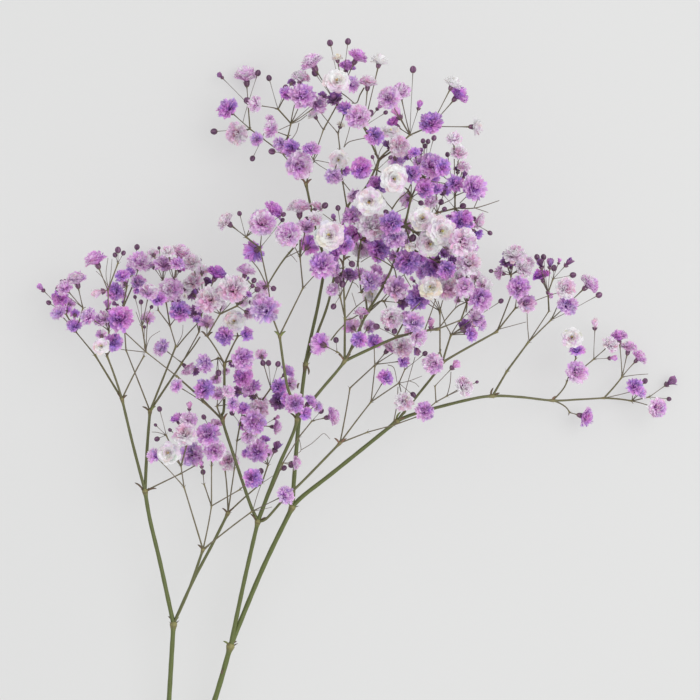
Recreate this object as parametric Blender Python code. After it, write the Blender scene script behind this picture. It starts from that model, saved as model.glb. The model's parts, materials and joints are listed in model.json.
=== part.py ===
# A cut stem of double gypsophila, lying on the surface at z = 0. Metres, +Z up, +Y towards the top of the plant.
# The plant is seen from straight above in the reference picture, so its forks and heads are given as places in
# that picture with a height above the surface, and place() turns them into metres.

import math

import bmesh
import bpy
import numpy as np
from mathutils import Matrix, Vector

MM = 0.001
PICTURE_WIDTH = 0.245  # real width of the picture's frame at MIDDLE_HEIGHT
PICTURE_POINTS = 700  # picture points across the frame
MIDDLE_HEIGHT = 0.026  # height of the layer at which PICTURE_WIDTH is measured
EYE_HEIGHT = 0.700  # the picture's viewpoint above the surface
EYE_ACROSS = -0.00269  # where the viewpoint stands over the surface, so that the plant is centred on the origin
EYE_UP = 0.0451

GAP = 0.00045  # kept between pieces that would otherwise touch
FAR = 0.006  # no gap wider than this is measured
JOINT_SWELL = 1.5  # a joint's radius beside its stem's
JOINT_LENGTH = 0.0017  # how far a joint's swelling reaches along the stem
STEM_STEP = 0.010  # between the sections of a stem
ARM_RADIUS = 0.00030  # radius of a spray's arms
TWIG_RADIUS = 0.00022  # radius of the twig under each head
KNOT_RADIUS = 0.00055  # radius of the knot where arms and twigs part
SMALL_HEAD = 0.0025  # heads of less radius are a swelling at the end of their twig
HEAD_FLATNESS = 0.86  # height of a head beside its width

# How a head sits above the tip of its arm, by how it faces: lift in metres, lift per metre of reach,
# and the steepness of its axis in degrees.
FACINGS = {
    "F": (0.0030, 0.55, 72),
    "H": (0.0015, 0.30, 42),
    "S": (0.0, 0.05, 6),
    "B": (-0.0030, -0.40, -48),
}

GREEN = (0.16, 0.22, 0.06)
BROWN = (0.17, 0.15, 0.07)
VIOLET = (0.19, 0.08, 0.46)
LILAC = (0.40, 0.19, 0.61)
PINK = (0.63, 0.29, 0.67)
BLUSH = (0.75, 0.56, 0.71)
WHITE = (0.80, 0.76, 0.74)

# Forks of the plant: across and down the picture, then height above the surface in millimetres.
FORKS = {
    "cut_end": (155, 884, 0.91),
    "base_fork": (161, 826, 3.0),
    "left_fork": (173.5, 624, 15),
    "right_fork": (230.5, 646, 13),
    "outer_fork": (145, 491, 21),
    "inner_fork": (203, 549.5, 24),
    "middle_fork": (228, 513, 15),
    "centre_fork": (258, 521, 22),
    "lower_right_fork": (292.4, 507, 17),
    "upper_left_fork": (122, 399, 26),
    "upper_middle_fork": (150, 411, 18),
    "knee_fork": (222.5, 420, 25),
    "heart_fork": (297, 419, 34),
    "gap_fork": (340, 443, 24),
    "bract_fork": (305.5, 365, 21),
    "elbow_fork": (397, 421, 21),
    "crown_fork": (279.5, 335.7, 40),
    "star_fork": (344.7, 361, 37),
    "crest_fork": (224.5, 364, 34),
    "tall_fork": (324, 262, 28),
    "cross_fork": (306, 184, 32),
    "twin_fork": (347, 208, 40),
    "high_fork": (379, 160, 42),
    "rose_fork": (367, 313, 38),
    "mass_fork": (405, 225, 42),
    "rail_fork": (438, 329, 38),
    "arm_fork": (492.5, 396, 20),
    "shoulder_fork": (442.5, 362.5, 29),
    "fan_fork": (497, 331.5, 25),
    "reach_fork": (552.5, 400.5, 15),
    "tip_fork": (604, 398, 10),
    "top_left_fork": (282, 153, 25),
}

# Branches: fork it leaves, bends on the way, fork it ends in, radius at its start and end in millimetres.
BRANCHES = {
    "cut_base_stem": ("cut_end", [], "base_fork", 1.05, 1.0),
    "left_main_stem": ("base_fork", [(166, 750, 8)], "left_fork", 0.85, 0.75),
    "right_main_stem": ("base_fork", [(186, 775, 5), (213, 705, 9)], "right_fork", 0.95, 0.85),
    "left_outer_branch": ("left_fork", [(160, 562, 18), (150, 520, 20)], "outer_fork", 0.72, 0.62),
    "left_inner_branch": ("left_fork", [(188, 592, 19)], "inner_fork", 0.46, 0.42),
    "left_middle_branch": ("left_fork", [(192, 583, 14), (213, 543, 14)], "middle_fork", 0.52, 0.46),
    "centre_branch": ("right_fork", [(244, 582, 17)], "centre_fork", 0.72, 0.64),
    "right_branch": ("right_fork", [(262, 570, 14)], "lower_right_fork", 0.82, 0.74),
    "outer_left_arm": ("outer_fork", [(133, 445, 24)], "upper_left_fork", 0.5, 0.42),
    "outer_middle_arm": ("outer_fork", [(147, 450, 19)], "upper_middle_fork", 0.55, 0.45),
    "gap_branch": ("centre_fork", [(266, 519, 23.5), (284, 499, 25), (303, 481, 25)], "gap_fork", 0.42, 0.38),
    "long_right_branch": ("lower_right_fork", [(303, 496, 18), (335, 471, 19)], "elbow_fork", 0.72, 0.6),
    "knee_branch": ("centre_fork", [(250.5, 505, 22), (236.6, 464, 23), "knee_fork", (224, 408, 27)],
                    "crest_fork", 0.56, 0.38),
    "heart_branch": ("centre_fork", [(278, 468, 28), "heart_fork", (287, 385, 37)], "crown_fork", 0.68, 0.38),
    "tall_stem": ("lower_right_fork", [(294, 480, 18), (299, 420, 19), "bract_fork", (311, 337, 22),
                  (319, 300, 24), "tall_fork", (316, 232, 29), (310, 203, 31)], "cross_fork", 0.72, 0.38),
    "twin_stem": ("bract_fork", [(317, 334, 25), (329, 300, 30), (339, 250, 36), "twin_fork",
                  (366, 187, 40)], "high_fork", 0.44, 0.32),
    "star_branch": ("heart_fork", [(321, 390, 36), "star_fork", (357, 335, 37), "rose_fork", (385, 283, 40),
                    (396, 256, 41)], "mass_fork", 0.52, 0.32),
    "rail_branch": ("star_fork", [(370, 349, 37), (398, 337, 38), (424, 331, 38)], "rail_fork", 0.5, 0.36),
    "right_arm": ("elbow_fork", [(417, 413, 21), (467, 400, 22), "arm_fork", (520, 397, 18), "reach_fork",
                  (578, 399.5, 13)], "tip_fork", 0.58, 0.27),
    "shoulder_branch": ("elbow_fork", [(413, 401, 24), (435, 373.5, 28), "shoulder_fork"], "fan_fork",
                        0.44, 0.32),
}

# Sprays: the fork each grows from, then its arms. An arm is: the arm it grows from ("" is the hub at the fork),
# its own letter, its tip (across, down, height), and the heads on that tip.
# A head is: across, down and width in the picture, and how it faces: "F" front, "H" half, "S" side, "B" back.
SPRAYS = {
    "left_tip_spray": ("upper_left_fork", [
        ("", "a", (95, 355, 23), []),
        ("a", "b", (76, 332, 14), [(74, 325, 16, "H"), (58, 312, 17, "H"), (75, 313, 11, "B")]),
        ("b", "c", (83, 308, 21), [(76, 279, 21, "S"), (64, 287, 18, "H")]),
        ("b", "d", (66, 314, 8), [(60, 298, 18, "F"), (70, 303, 13, "B"), (42, 289, 9, "S"),
            (66, 309, 12, "B")]),
    ]),
    "left_back_spray": ("upper_middle_fork", [
        ("", "a", (126, 350, 13), []),
        ("a", "b", (123, 308, 11), [(116, 304.5, 7, "S")]),
        ("b", "c", (127, 286, 13), [(122, 275, 16, "H"), (130, 272, 12, "S"), (124, 283, 9, "B"),
            (114.5, 291.5, 18, "F"), (121, 295, 12, "B")]),
        ("b", "d", (133, 285, 6), [(140, 261, 25, "H"), (139, 283, 18, "H"), (137, 291, 8, "H"),
            (133, 265, 14, "B")]),
    ]),
    "crown_edge_spray": ("upper_middle_fork", [
        ("", "a", (176, 346, 20), []),
        ("a", "b", (170, 326, 22), [(180, 311, 21, "F")]),
        ("b", "c", (158, 310, 24), [(158.5, 298, 17, "H")]),
        ("b", "d", (166, 302, 20), [(171, 289, 25, "F"), (176, 300, 15, "B"), (185, 296, 7, "H"),
            (186, 288, 14, "B")]),
        ("d", "e", (163, 281, 17), [(164, 263, 21, "H"), (155, 261, 7, "S"), (152, 265, 11, "S"),
            (153, 253, 13, "B")]),
        ("d", "f", (174, 281, 22), [(177, 263, 15, "H"), (181, 268, 10, "S"), (181, 252, 22, "S"),
            (168, 251, 15, "H")]),
    ]),
    "crown_low_spray": ("upper_middle_fork", [
        ("", "a", (182, 363, 14), [(161, 347, 18, "H"), (188, 369, 16, "S"), (196, 371, 11, "B")]),
        ("a", "b", (199, 332, 11), [(195, 312, 16, "B"), (197, 319, 10, "H")]),
        ("b", "c", (203, 306, 11), [(193, 281, 21, "H"), (192, 293, 15, "B"), (192, 262, 20, "H"),
            (207, 281, 13, "S"), (217, 273, 20, "S"), (202, 270, 15, "B")]),
    ]),
    "knee_spray": ("knee_fork", [
        ("", "a", (203, 402, 29), [(176, 385, 15, "H"), (204, 389, 20, "F")]),
        ("", "b", (217, 406, 31), [(218, 393, 16, "H"), (234, 404, 15, "H"), (229, 391, 14, "H")]),
    ]),
    "inner_left_spray": ("inner_fork", [
        ("", "a", (184, 487, 28), [(154, 455, 16, "H")]),
        ("a", "b", (181, 466, 30), [(168, 453, 23, "F")]),
        ("b", "c", (166, 435, 31), []),
        ("b", "d", (187, 444, 33), [(185, 434, 23, "F"), (177, 418, 14, "S"), (189, 419, 18, "H"),
            (189.5, 407.5, 7.5, "S")]),
    ]),
    "low_left_spray": ("outer_fork", [
        ("", "a", (181, 473.5, 17), []),
        ("a", "b", (198, 464, 16), [(191, 453, 25, "F")]),
    ]),
    "heart_spray": ("heart_fork", [
        ("", "a", (299, 411, 37), [(294, 403, 19, "F"), (306, 414, 14, "H"), (311, 401, 15, "S"),
            (286, 398, 13, "B"), (318, 406, 12, "B")]),
    ]),
    "curl_spray": ("centre_fork", [
        ("", "a", (283, 463, 25), [(296, 463, 14, "S")]),
        ("a", "b", (299, 437, 27), []),
        ("b", "c", (312, 421, 29), [(333, 416, 19, "S")]),
    ]),
    "crown_inner_spray": ("crown_fork", [
        ("", "a", (272, 316, 42), [(265, 309, 27, "F"), (258, 301, 18, "H")]),
        ("a", "b", (268, 285, 40), [(262, 289, 17, "B")]),
        ("b", "c", (260, 248, 38), [(253, 252, 22, "B"), (262, 222, 26, "F")]),
        ("c", "d", (246, 237, 36), [(225, 221, 19, "S"),  (274, 210, 21, "S")]),
    ]),
    "crown_right_spray": ("crown_fork", [
        ("", "a", (303, 288, 44), [(323, 265, 26, "F")]),
        ("a", "b", (300, 257, 43), [(288, 234, 25, "F"), (310, 244, 21, "B"), (306, 226, 18, "H")]),
        ("b", "c", (300, 232, 42), [(299, 207, 23, "S"), (316, 218, 16, "H"), (317, 206, 13, "S")]),
    ]),
    "rail_bud_spray": ("rail_fork", [
        ("", "a", (431, 330, 41), [(431, 325, 10, "S")]),
        ("a", "b", (412, 333, 43), [(414, 322, 20, "F"), (419, 339, 20, "H"), (416, 348, 10, "S"),
            (406, 316, 14, "B"), (412, 330, 14, "B")]),
        ("b", "c", (395, 336, 43), []),
    ]),
    "rail_tip_spray": ("rail_fork", [
        ("", "a", (461, 320, 36), []),
        ("a", "b", (467, 303, 35), [(481, 299, 23, "F"), (464, 287, 20, "F"), (485, 284, 17, "B"),
            (469, 263, 25, "F"), (459, 276, 17, "H"), (457, 300, 9, "B"), (477, 276, 15, "B")]),
    ]),
    "mass_white_spray": ("mass_fork", [
        ("", "a", (414, 232, 48), [(423, 218, 25, "F"), (430, 244, 27, "F"), (442, 231, 28, "F"),
            (413, 238, 7.5, "H"), (464, 242, 27, "F"), (410, 248, 11, "H"), (449, 250, 14, "B")]),
    ]),
    "mass_top_spray": ("mass_fork", [
        ("", "a", (411, 198, 43), [(405, 200, 16, "B"), (412, 173, 18, "F"), (425, 188, 19, "F")]),
        ("a", "b", (421, 176, 44), [(432, 165, 24, "F"), (443, 167, 17, "F"), (414, 152, 13, "H"),
            (408, 156, 10, "B"), (420, 161, 15, "H"), (434, 177, 15, "B")]),
    ]),
    "mass_right_spray": ("mass_fork", [
        ("", "a", (437, 213, 38), [(436, 188, 14, "H"), (431, 201, 15, "H"), (445, 190, 13, "B")]),
        ("a", "b", (455, 208.5, 37), [(462, 222, 24, "F"), (452, 218, 13, "S"), (477, 235, 14, "S"),
            (479, 221, 17, "S"), (473, 249, 12, "B")]),
        ("b", "c", (455, 196, 38), [(455, 183, 17, "F"), (447, 185, 8, "B"), (475, 187, 24, "F"),
            (458, 169, 10, "S"), (464, 176, 7, "S"), (454, 138, 16, "H"), (459, 152, 17, "H"),
            (464, 166, 14, "H")]),
    ]),
    "twin_left_spray": ("twin_fork", [
        ("", "a", (342.5, 181, 38), [(354, 196, 15, "H")]),
        ("a", "b", (340, 150, 35), [(338.5, 160, 20, "F"), (333, 177, 18, "H"), (345, 171, 12, "H")]),
        ("b", "c", (338, 133, 33), [(346, 108, 17, "H"), (341, 124, 10, "S")]),
    ]),
    "high_left_spray": ("high_fork", [
        ("", "a", (364, 127, 44), [(358, 116, 24, "F"), (375, 136, 18, "F"), (378.5, 107.5, 8, "S"),
            (368, 82, 18, "S"), (380, 59, 19, "S")]),
    ]),
    "high_right_spray": ("high_fork", [
        ("", "a", (392, 151, 40), [(400, 146, 21, "F"), (391, 130, 19, "H"), (397, 162, 17, "B"),
            (388, 146, 9, "S")]),
        ("a", "b", (410, 135, 38), [(398, 114, 14, "S"), (393, 123, 17, "S"), (389, 97, 22, "F"),
            (400, 91, 21, "H"), (413, 69.5, 7, "S"), (419, 106.5, 8.5, "S")]),
        ("b", "c", (431, 126, 36), [(431, 122, 22, "F"), (454, 82, 19, "S"), (459, 94, 20, "S"),
            (478, 127, 19, "S")]),
    ]),
    "left_shoulder_spray": ("upper_left_fork", [
        ("", "a", (107, 356, 31), [(101, 346, 17, "F"), (113.5, 342, 18, "F"), (101, 334, 12, "B")]),
        ("a", "b", (109, 331, 33), [(102, 318, 19, "H"), (108, 307, 11, "S"), (88, 316, 18, "H"),
            (110, 322, 12, "B")]),
        ("b", "c", (108, 290, 35), [(95, 259, 22, "S"), (100, 292, 12, "S")]),
        ("c", "d", (118, 263, 36), []),
        ("", "e", (144, 356, 22), []),
    ]),
    "left_reach_spray": ("knee_fork", [
        ("", "a", (200, 397, 27), []),
        ("a", "b", (176.5, 376, 28), []),
        ("b", "c", (146, 352, 30), [(148, 317, 15, "B")]),
        ("c", "d", (124.5, 332, 32), [(120, 318, 25, "F")]),
        ("c", "e", (142, 326, 27), [ (149, 291, 19, "H")]),
    ]),
    "crest_spray": ("crest_fork", [
        ("", "a", (207, 336, 37), [(207, 322, 17, "B")]),
        ("a", "b", (220, 314, 39), [(209, 299, 26, "F"), (200, 306, 14, "B"), (220, 305, 13, "B")]),
        ("b", "c", (237, 306, 40), [(233, 288, 28, "F"), (246, 270, 18, "S"), (249, 294, 7, "H"),
            (243, 300, 15, "B"), (249, 314, 14, "B")]),
        ("", "d", (238, 336, 33), [(247, 333.5, 15, "H"), (224, 336, 18, "F"), (234, 321, 23, "F")]),
        ("", "e", (232, 361, 35), [(243, 359, 22, "F"), (233, 364, 10, "B")]),
        ("", "f", (218, 358, 32), [(204, 364, 19, "H"), (216, 380, 12, "B"), (226, 372, 9, "B")]),
    ]),
    "inner_middle_spray": ("inner_fork", [
        ("", "a", (211.5, 506, 27), []),
        ("a", "b", (211.5, 466, 29), [(215, 450, 22, "F"), (208, 434, 23, "F")]),
        ("a", "c", (204, 484, 25), [(201.5, 465, 8, "S")]),
        ("a", "d", (240, 489.5, 30), [(253, 478, 19, "F")]),
        ("", "e", (252, 511.5, 31), [(286, 495, 19, "H")]),
    ]),
    "middle_edge_spray": ("middle_fork", [
        ("", "a", (225, 470, 11), [(229, 461, 20, "F")]),
        ("a", "b", (217, 440, 9), [(215, 424, 16, "S")]),
        ("", "c", (262, 483, 15), []),
        ("c", "d", (268, 465, 16), [(257, 450, 23, "F"), (245, 453, 10, "H"), (276, 448, 12, "S"),
            (264, 440, 12, "S"), (268, 452, 12, "B")]),
    ]),
    "middle_spray": ("middle_fork", [
        ("", "a", (234.5, 468, 18), []),
        ("a", "b", (237, 441, 20), []),
        ("b", "c", (240, 424, 23), [(250, 437, 18, "H"), (254, 422, 24, "F"), (243, 408, 15, "H"),
            (244, 424, 13, "B")]),
        ("b", "d", (262, 426, 18), [(277, 427, 15, "S")]),
        ("d", "e", (261, 402, 17), [(258, 410, 21, "F"), (243, 377, 20, "F"), (247, 392, 12, "S"),
            (253, 396, 10, "B"), (251, 387, 19, "H"), (262, 403, 14, "B"), (237, 391, 13, "B")]),
        ("e", "f", (271, 388, 19), [(280, 387, 17, "F"), (279, 401, 19, "F"), (288, 371, 16, "S"),
            (292, 384, 14, "B"), (261, 354, 14, "B")]),
    ]),
    "mast_spray": ("star_fork", [
        ("", "a", (345, 318, 41), []),
        ("a", "b", (343, 268, 45), [(333, 268, 17, "H"), (340, 277, 12, "B")]),
        ("b", "c", (344, 254, 47), [(344, 244, 19, "F"), (334, 254, 14, "H"), (329, 235, 29, "F"),
            (334, 219, 7, "S"), (341, 229, 12, "B")]),
        ("a", "d", (340, 296, 42), [(337.5, 280, 7, "H"), (333, 289, 15, "H"), (342.5, 284, 7, "H"),
            (350, 274, 16, "H")]),
        ("", "e", (337, 352, 38), [(319.5, 343, 22, "B")]),
        ("", "f", (361, 338, 42), [(351, 325, 18, "B"), (361, 312, 14, "S"), (359, 340, 16, "F"),
            (370, 326, 15, "B")]),
    ]),
    "rose_spray": ("rose_fork", [
        ("", "a", (361, 292, 35), [(371, 281, 21, "F"), (371.5, 294, 20, "H"), (377, 270, 15, "S"),
            (387, 283, 19, "B"), (360, 273, 14, "B")]),
        ("a", "b", (358, 262, 33), []),
        ("b", "c", (361, 240, 35), [(352, 234, 22, "H"), (352, 215, 21, "H"), (372, 225, 29, "F"),
            (379, 249, 24, "F"), (361, 251, 19, "B"), (367, 238, 16, "B")]),
        ("", "d", (384, 301, 41), [(397, 288, 24, "F"), (403, 303, 14, "B"), (392, 318, 22, "F")]),
    ]),
    "mass_violet_spray": ("mass_fork", [
        ("", "a", (399, 222, 40), [(391, 223, 22, "F"), (394, 237, 22, "F"), (405, 227, 18, "B"),
            (404, 243, 15, "B"), (412, 226, 12, "B"), (386, 232, 14, "B")]),
        ("", "b", (414, 250, 37), [(407, 262, 25, "F"), (421, 259, 15, "H"), (394, 257, 14, "B")]),
        ("b", "c", (438, 262, 36), [(433, 268, 24, "F"), (447, 270, 18, "F"), (437, 257, 10, "H"),
            (444, 253, 12, "H"), (453, 261, 13, "H"), (421, 273, 15, "B")]),
    ]),
    "gap_spray": ("gap_fork", [
        ("", "a", (350, 388, 20), []),
        ("a", "b", (376, 364, 20), [(404, 361, 14, "H"), (403, 347, 21, "F"), (390, 347, 18, "S")]),
        ("", "c", (371, 402, 27), [(386, 377, 17, "H")]),
        ("c", "d", (375, 366, 29), [(374, 341, 17, "H")]),
        ("c", "e", (399, 383, 28), [(404, 402, 19, "F")]),
        ("e", "f", (405, 369, 29), []),
    ]),
    "low_twig_spray": ("gap_fork", [
        ("", "a", (368, 432, 26), []),
        ("a", "b", (394, 425, 28), []),
        ("b", "c", (419, 416, 29), [(425, 411, 19, "F")]),
        ("c", "d", (436, 402, 30), []),
        ("d", "e", (435, 386, 32), [(454, 366, 11, "S")]),
        ("d", "f", (447, 396, 30), [(465, 386, 21, "H")]),
    ]),
    "shoulder_spray": ("shoulder_fork", [
        ("", "a", (440, 352, 32), [(433, 364, 21, "F")]),
        ("a", "b", (440, 311, 33), [(430, 287, 24, "F"), (447, 287, 25, "F"), (418, 297, 24, "F")]),
        ("", "c", (451, 335, 27), [(466, 326, 17, "B"), (472, 334, 15, "H"), (476, 317, 20, "H"),
            (482, 324, 13, "B")]),
    ]),
    "fan_spray": ("fan_fork", [
        ("", "a", (511.5, 294, 23), []),
        ("a", "b", (511, 275, 22), [(506, 261, 14, "H"), (515, 254, 23, "H"), (499, 273, 14, "S"),
            (524, 268, 20, "H"), (511, 264, 11, "S"), (529, 262, 13, "B")]),
        ("", "c", (515.5, 308, 28), [(519, 287, 22, "F"), (527, 303, 19, "F")]),
    ]),
    "right_crest_spray": ("arm_fork", [
        ("", "a", (507, 371, 24), []),
        ("a", "b", (528.5, 342, 27), []),
        ("b", "c", (549, 311, 24), []),
        ("c", "d", (548, 293, 22), [(541, 275, 18, "S"), (550, 265, 10, "S"), (541, 265, 10, "S"),
            (549, 294, 8, "S")]),
        ("d", "e", (553, 279, 21), [ (567.5, 263.5, 10, "S")]),
        ("b", "f", (551, 320, 29), [(568, 305, 20, "F"), (566, 288, 21, "F"), (590, 283, 21, "S")]),
    ]),
    "reach_spray": ("reach_fork", [
        ("", "a", (567, 381, 17), [(578, 372, 23, "F")]),
        ("a", "b", (576, 358, 15), [(572, 337, 22, "F"), (577, 349, 16, "H")]),
        ("a", "c", (594, 359, 12), [(595, 326, 10, "S"), (611, 344, 18, "H"), (611.5, 358, 9, "S")]),
        ("", "d", (569.5, 412.5, 8), [(586, 417, 20, "S")]),
    ]),
    "tip_spray": ("tip_fork", [
        ("", "a", (622, 377, 10), [(619, 336, 18, "S"), (629, 347, 18, "S"), (640, 357, 17, "S")]),
        ("", "b", (632, 401, 5), [(658, 408, 20, "F"), (635, 386, 17, "F"), (641.5, 392, 13, "H")]),
        ("b", "c", (649, 397, 3), [(669, 383, 12, "S")]),
    ]),
    "top_left_spray": ("cross_fork", [
        ("", "a", (302, 178, 31), []),
        ("a", "b", (282, 153, 25), [(272, 151.5, 7, "S")]),
        ("b", "c", (262, 138, 17), [(256, 139, 14, "F"), (270, 118, 10, "H")]),
        ("c", "d", (250, 129, 11), [(236, 134, 23, "F"), (214, 131.5, 7, "S"), (227, 108, 22, "H")]),
        ("d", "e", (248, 104, 4), [(247, 100.5, 7.5, "F"), (246, 75, 25, "S"), (221, 76.5, 7.5, "S")]),
    ]),
    "top_inner_spray": ("top_left_fork", [
        ("", "a", (288, 136, 32), [(280, 145, 17, "H"), (291, 148, 17, "F"), (270, 129, 18, "H")]),
        ("a", "b", (291, 123.5, 33), [(303, 95, 25, "F"), (301, 77, 19, "S"), (319, 104, 19, "H"),
            (323, 96, 11, "B")]),
        ("b", "c", (278, 109, 31), [(287, 93, 16, "H"), (254, 104, 17, "H"), (292, 82, 9, "B")]),
        ("", "d", (293, 159, 36), [(300, 166, 27, "F")]),
    ]),
    "top_middle_spray": ("cross_fork", [
        ("", "a", (312, 163, 36), [(311, 148, 18, "H")]),
        ("a", "b", (323.5, 129.5, 37), [(313, 113, 15, "S")]),
        ("b", "c", (337, 105, 38), [(334, 98, 17, "H"), (337, 80, 25, "F"), (315, 73, 7, "S"),
            (311, 62, 23, "S")]),
        ("c", "d", (342, 87, 36), [(337, 57, 12, "S"), (347, 66, 17, "S"), (358, 56, 20, "S"),
            (353, 84, 16, "H")]),
    ]),
    "high_low_spray": ("high_fork", [
        ("", "a", (377, 170, 47), [(361, 168, 21, "F"), (394.5, 179, 27, "F"), (377, 186, 19, "F"),
            (369, 202, 28, "F")]),
    ]),
}

# Prevailing colour of each spray's flowers; the others are violet.
SPRAY_COLOURS = {
    WHITE: ("mass_white_spray", "high_low_spray"),
    BLUSH: ("left_shoulder_spray", "crown_low_spray", "crest_spray", "inner_left_spray", "shoulder_spray",
            "twin_left_spray", "rail_tip_spray"),
    PINK: ("left_reach_spray", "top_left_spray", "top_middle_spray", "high_left_spray", "high_right_spray",
           "heart_spray", "middle_spray", "reach_spray", "tip_spray", "gap_spray", "curl_spray"),
    LILAC: ("knee_spray", "inner_middle_spray", "middle_edge_spray", "crown_inner_spray", "rail_bud_spray",
            "right_crest_spray", "rose_spray", "fan_spray"),
}


def place(points):
    """Metres for rows of picture places, each across, down and a height in metres."""
    points = np.atleast_2d(np.asarray(points, float))
    scale = PICTURE_WIDTH / PICTURE_POINTS * (EYE_HEIGHT - points[:, 2]) / (EYE_HEIGHT - MIDDLE_HEIGHT)
    across = EYE_ACROSS + (points[:, 0] - PICTURE_POINTS / 2) * scale
    up = EYE_UP - (points[:, 1] - PICTURE_POINTS / 2) * scale
    return np.stack([across, up, points[:, 2]], 1)


def spot(across, down, height_mm):
    return place([(across, down, height_mm * MM)])[0]


def fork_spot(key):
    return spot(*(FORKS[key] if isinstance(key, str) else key))


def direction(vector):
    return vector / max(np.linalg.norm(vector), 1e-9)


def smooth_leg(before, start, end, after, spots):
    """A smooth curve from start to end that takes the points on either side into account."""
    into = (end - before) / 2
    out = (after - start) / 2
    t = np.asarray(spots)[:, None]
    return ((2 * t**3 - 3 * t**2 + 1) * start + (t**3 - 2 * t**2 + t) * into
            + (3 * t**2 - 2 * t**3) * end + (t**3 - t**2) * out)


def bend(start, control, end, steps):
    """A curve from start to end pulled towards control."""
    t = np.linspace(0, 1, steps)[:, None]
    return (1 - t) ** 2 * start + 2 * t * (1 - t) * control + t**2 * end


class Beads:
    """Every solid as rows of balls, so that the gap between two nodes is quick to measure."""

    def __init__(self):
        self.at = np.zeros((0, 3))
        self.radius = np.zeros(0)
        self.owner = np.zeros(0, int)

    def add(self, path, radius, owner):
        balls = string_of(path)
        self.at = np.vstack([self.at, balls])
        self.radius = np.append(self.radius, np.full(len(balls), radius))
        self.owner = np.append(self.owner, np.full(len(balls), owner))

    def gap(self, path, radius, owner):
        """Smallest gap from a tube along path to the beads of other nodes."""
        balls = string_of(path)
        reach = radius + FAR
        near = ((self.at > balls.min(0) - reach) & (self.at < balls.max(0) + reach)).all(1)
        near &= self.owner != owner
        if not near.any():
            return FAR
        apart = np.linalg.norm(balls[:, None] - self.at[None, near], axis=2)
        return float((apart - self.radius[near]).min()) - radius


def string_of(path):
    """Points about half a millimetre apart along a path."""
    rows = [path[:1]]
    for start, end in zip(path[:-1], path[1:]):
        count = max(1, math.ceil(np.linalg.norm(end - start) / (0.5 * MM)))
        rows.append(start + (end - start) * (np.arange(1, count + 1) / count)[:, None])
    return np.vstack(rows)


def stem_path(stops, first_radius, last_radius):
    """Sections of a stem through its forks and bends, with their radii: thicker at each fork."""
    places = [fork_spot(stop) for stop in stops]
    lengths = [np.linalg.norm(b - a) for a, b in zip(places[:-1], places[1:])]
    whole = sum(lengths)
    path, radii, run = [], [], 0.0
    for n, length in enumerate(lengths):
        before = places[n - 1] if n else places[0]
        after = places[n + 2] if n + 2 < len(places) else places[-1]
        joint_behind = isinstance(stops[n], str) and n > 0
        joint_ahead = isinstance(stops[n + 1], str)
        inner = max(1, round(length / STEM_STEP))
        spots = list(np.arange(1, inner) / inner)
        near = min(JOINT_LENGTH / length, 0.3)
        if joint_behind:
            spots = [near] + [t for t in spots if t > near * 1.8]
        if joint_ahead:
            spots = [t for t in spots if t < 1 - near * 1.8] + [1 - near]
        spots = ([0.0] if n == 0 else []) + spots + [1.0]
        for t, point in zip(spots, smooth_leg(before, places[n], places[n + 1], after, spots)):
            share = (run + t * length) / whole
            swell = JOINT_SWELL if t == 1.0 and joint_ahead else 1.0
            path.append(point)
            radii.append((first_radius + (last_radius - first_radius) * share) * MM * swell)
        run += length
    tip = path[-1] + direction(path[-1] - path[-2]) * radii[-1] * 0.5
    return np.array(path + [tip]), np.array(radii + [radii[-1] * 0.6])


def start_clear(path, radii, beads, owner):
    """Moves a stem's first section along it until the stem is clear of what it grows from."""
    walk = string_of(path[:4])
    for n, point in enumerate(walk[:-1]):
        if beads.gap(walk[n : n + 6], radii[0], owner) > GAP:
            passed = np.linalg.norm(point - path[0])
            keep = np.linalg.norm(path - path[0], axis=1) > passed + MM
            return np.vstack([point, path[keep]]), np.append(radii[0], radii[keep])
    return path, radii


def route(start, control, end, radius, beads, owner):
    """The bend from start to end nearest to the wanted one that passes clear of the other nodes."""
    side = direction(np.cross(end - start, (0, 0, 1))) * MM
    lift = np.array((0, 0, MM))
    best, widest = None, -1.0
    for reach in (0, 1, -1, 2, -2, 3, -3, 4.5, -4.5, 6, -6, 8, -8, 10, -10):
        for swing in (0, 1.5, -1.5, 3, -3):
            pulled = control + lift * reach + side * swing
            path = bend(start, pulled, end, 9)
            if path[:, 2].min() < radius * 1.5:
                continue
            gap = beads.gap(path, radius, owner)
            if gap > GAP:
                return pulled
            if gap > widest:
                best, widest = pulled, gap
    return control if best is None else best


def settle(heads, beads):
    """Raises and lowers the heads until none cuts another head or a stem of another node."""
    radius = np.array([h["radius"] for h in heads])
    owner = np.array([h["owner"] for h in heads])
    picture = np.array([(h["across"], h["down"], h["height"]) for h in heads])
    order = np.arange(len(heads))
    for _ in range(90):
        at = place(picture)
        apart = at[:, None] - at[None]
        wanted = radius[:, None] + radius[None] + GAP
        level = np.hypot(apart[..., 0], apart[..., 1])
        needed = np.sqrt(np.maximum(wanted**2 - level**2, 0))
        short = np.where(order[:, None] != order[None], needed - np.abs(apart[..., 2]), 0)
        above = np.where(apart[..., 2] == 0, np.sign(order[:, None] - order[None]), np.sign(apart[..., 2]))
        push = (np.maximum(short, 0) * above * 0.35).sum(1)
        stems = at[:, None] - beads.at[None]
        wanted = radius[:, None] + beads.radius[None] + GAP
        level = np.hypot(stems[..., 0], stems[..., 1])
        needed = np.sqrt(np.maximum(wanted**2 - level**2, 0))
        short = np.where(owner[:, None] != beads.owner[None], needed - np.abs(stems[..., 2]), 0)
        worst = short.argmax(1)
        depth = np.maximum(short[order, worst], 0)
        push += depth * np.where(stems[order, worst, 2] < 0, -1, 1) * 0.6
        picture[:, 2] = np.maximum(picture[:, 2] + push, radius)
    for head, at in zip(heads, place(picture)):
        head["at"] = at


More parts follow.
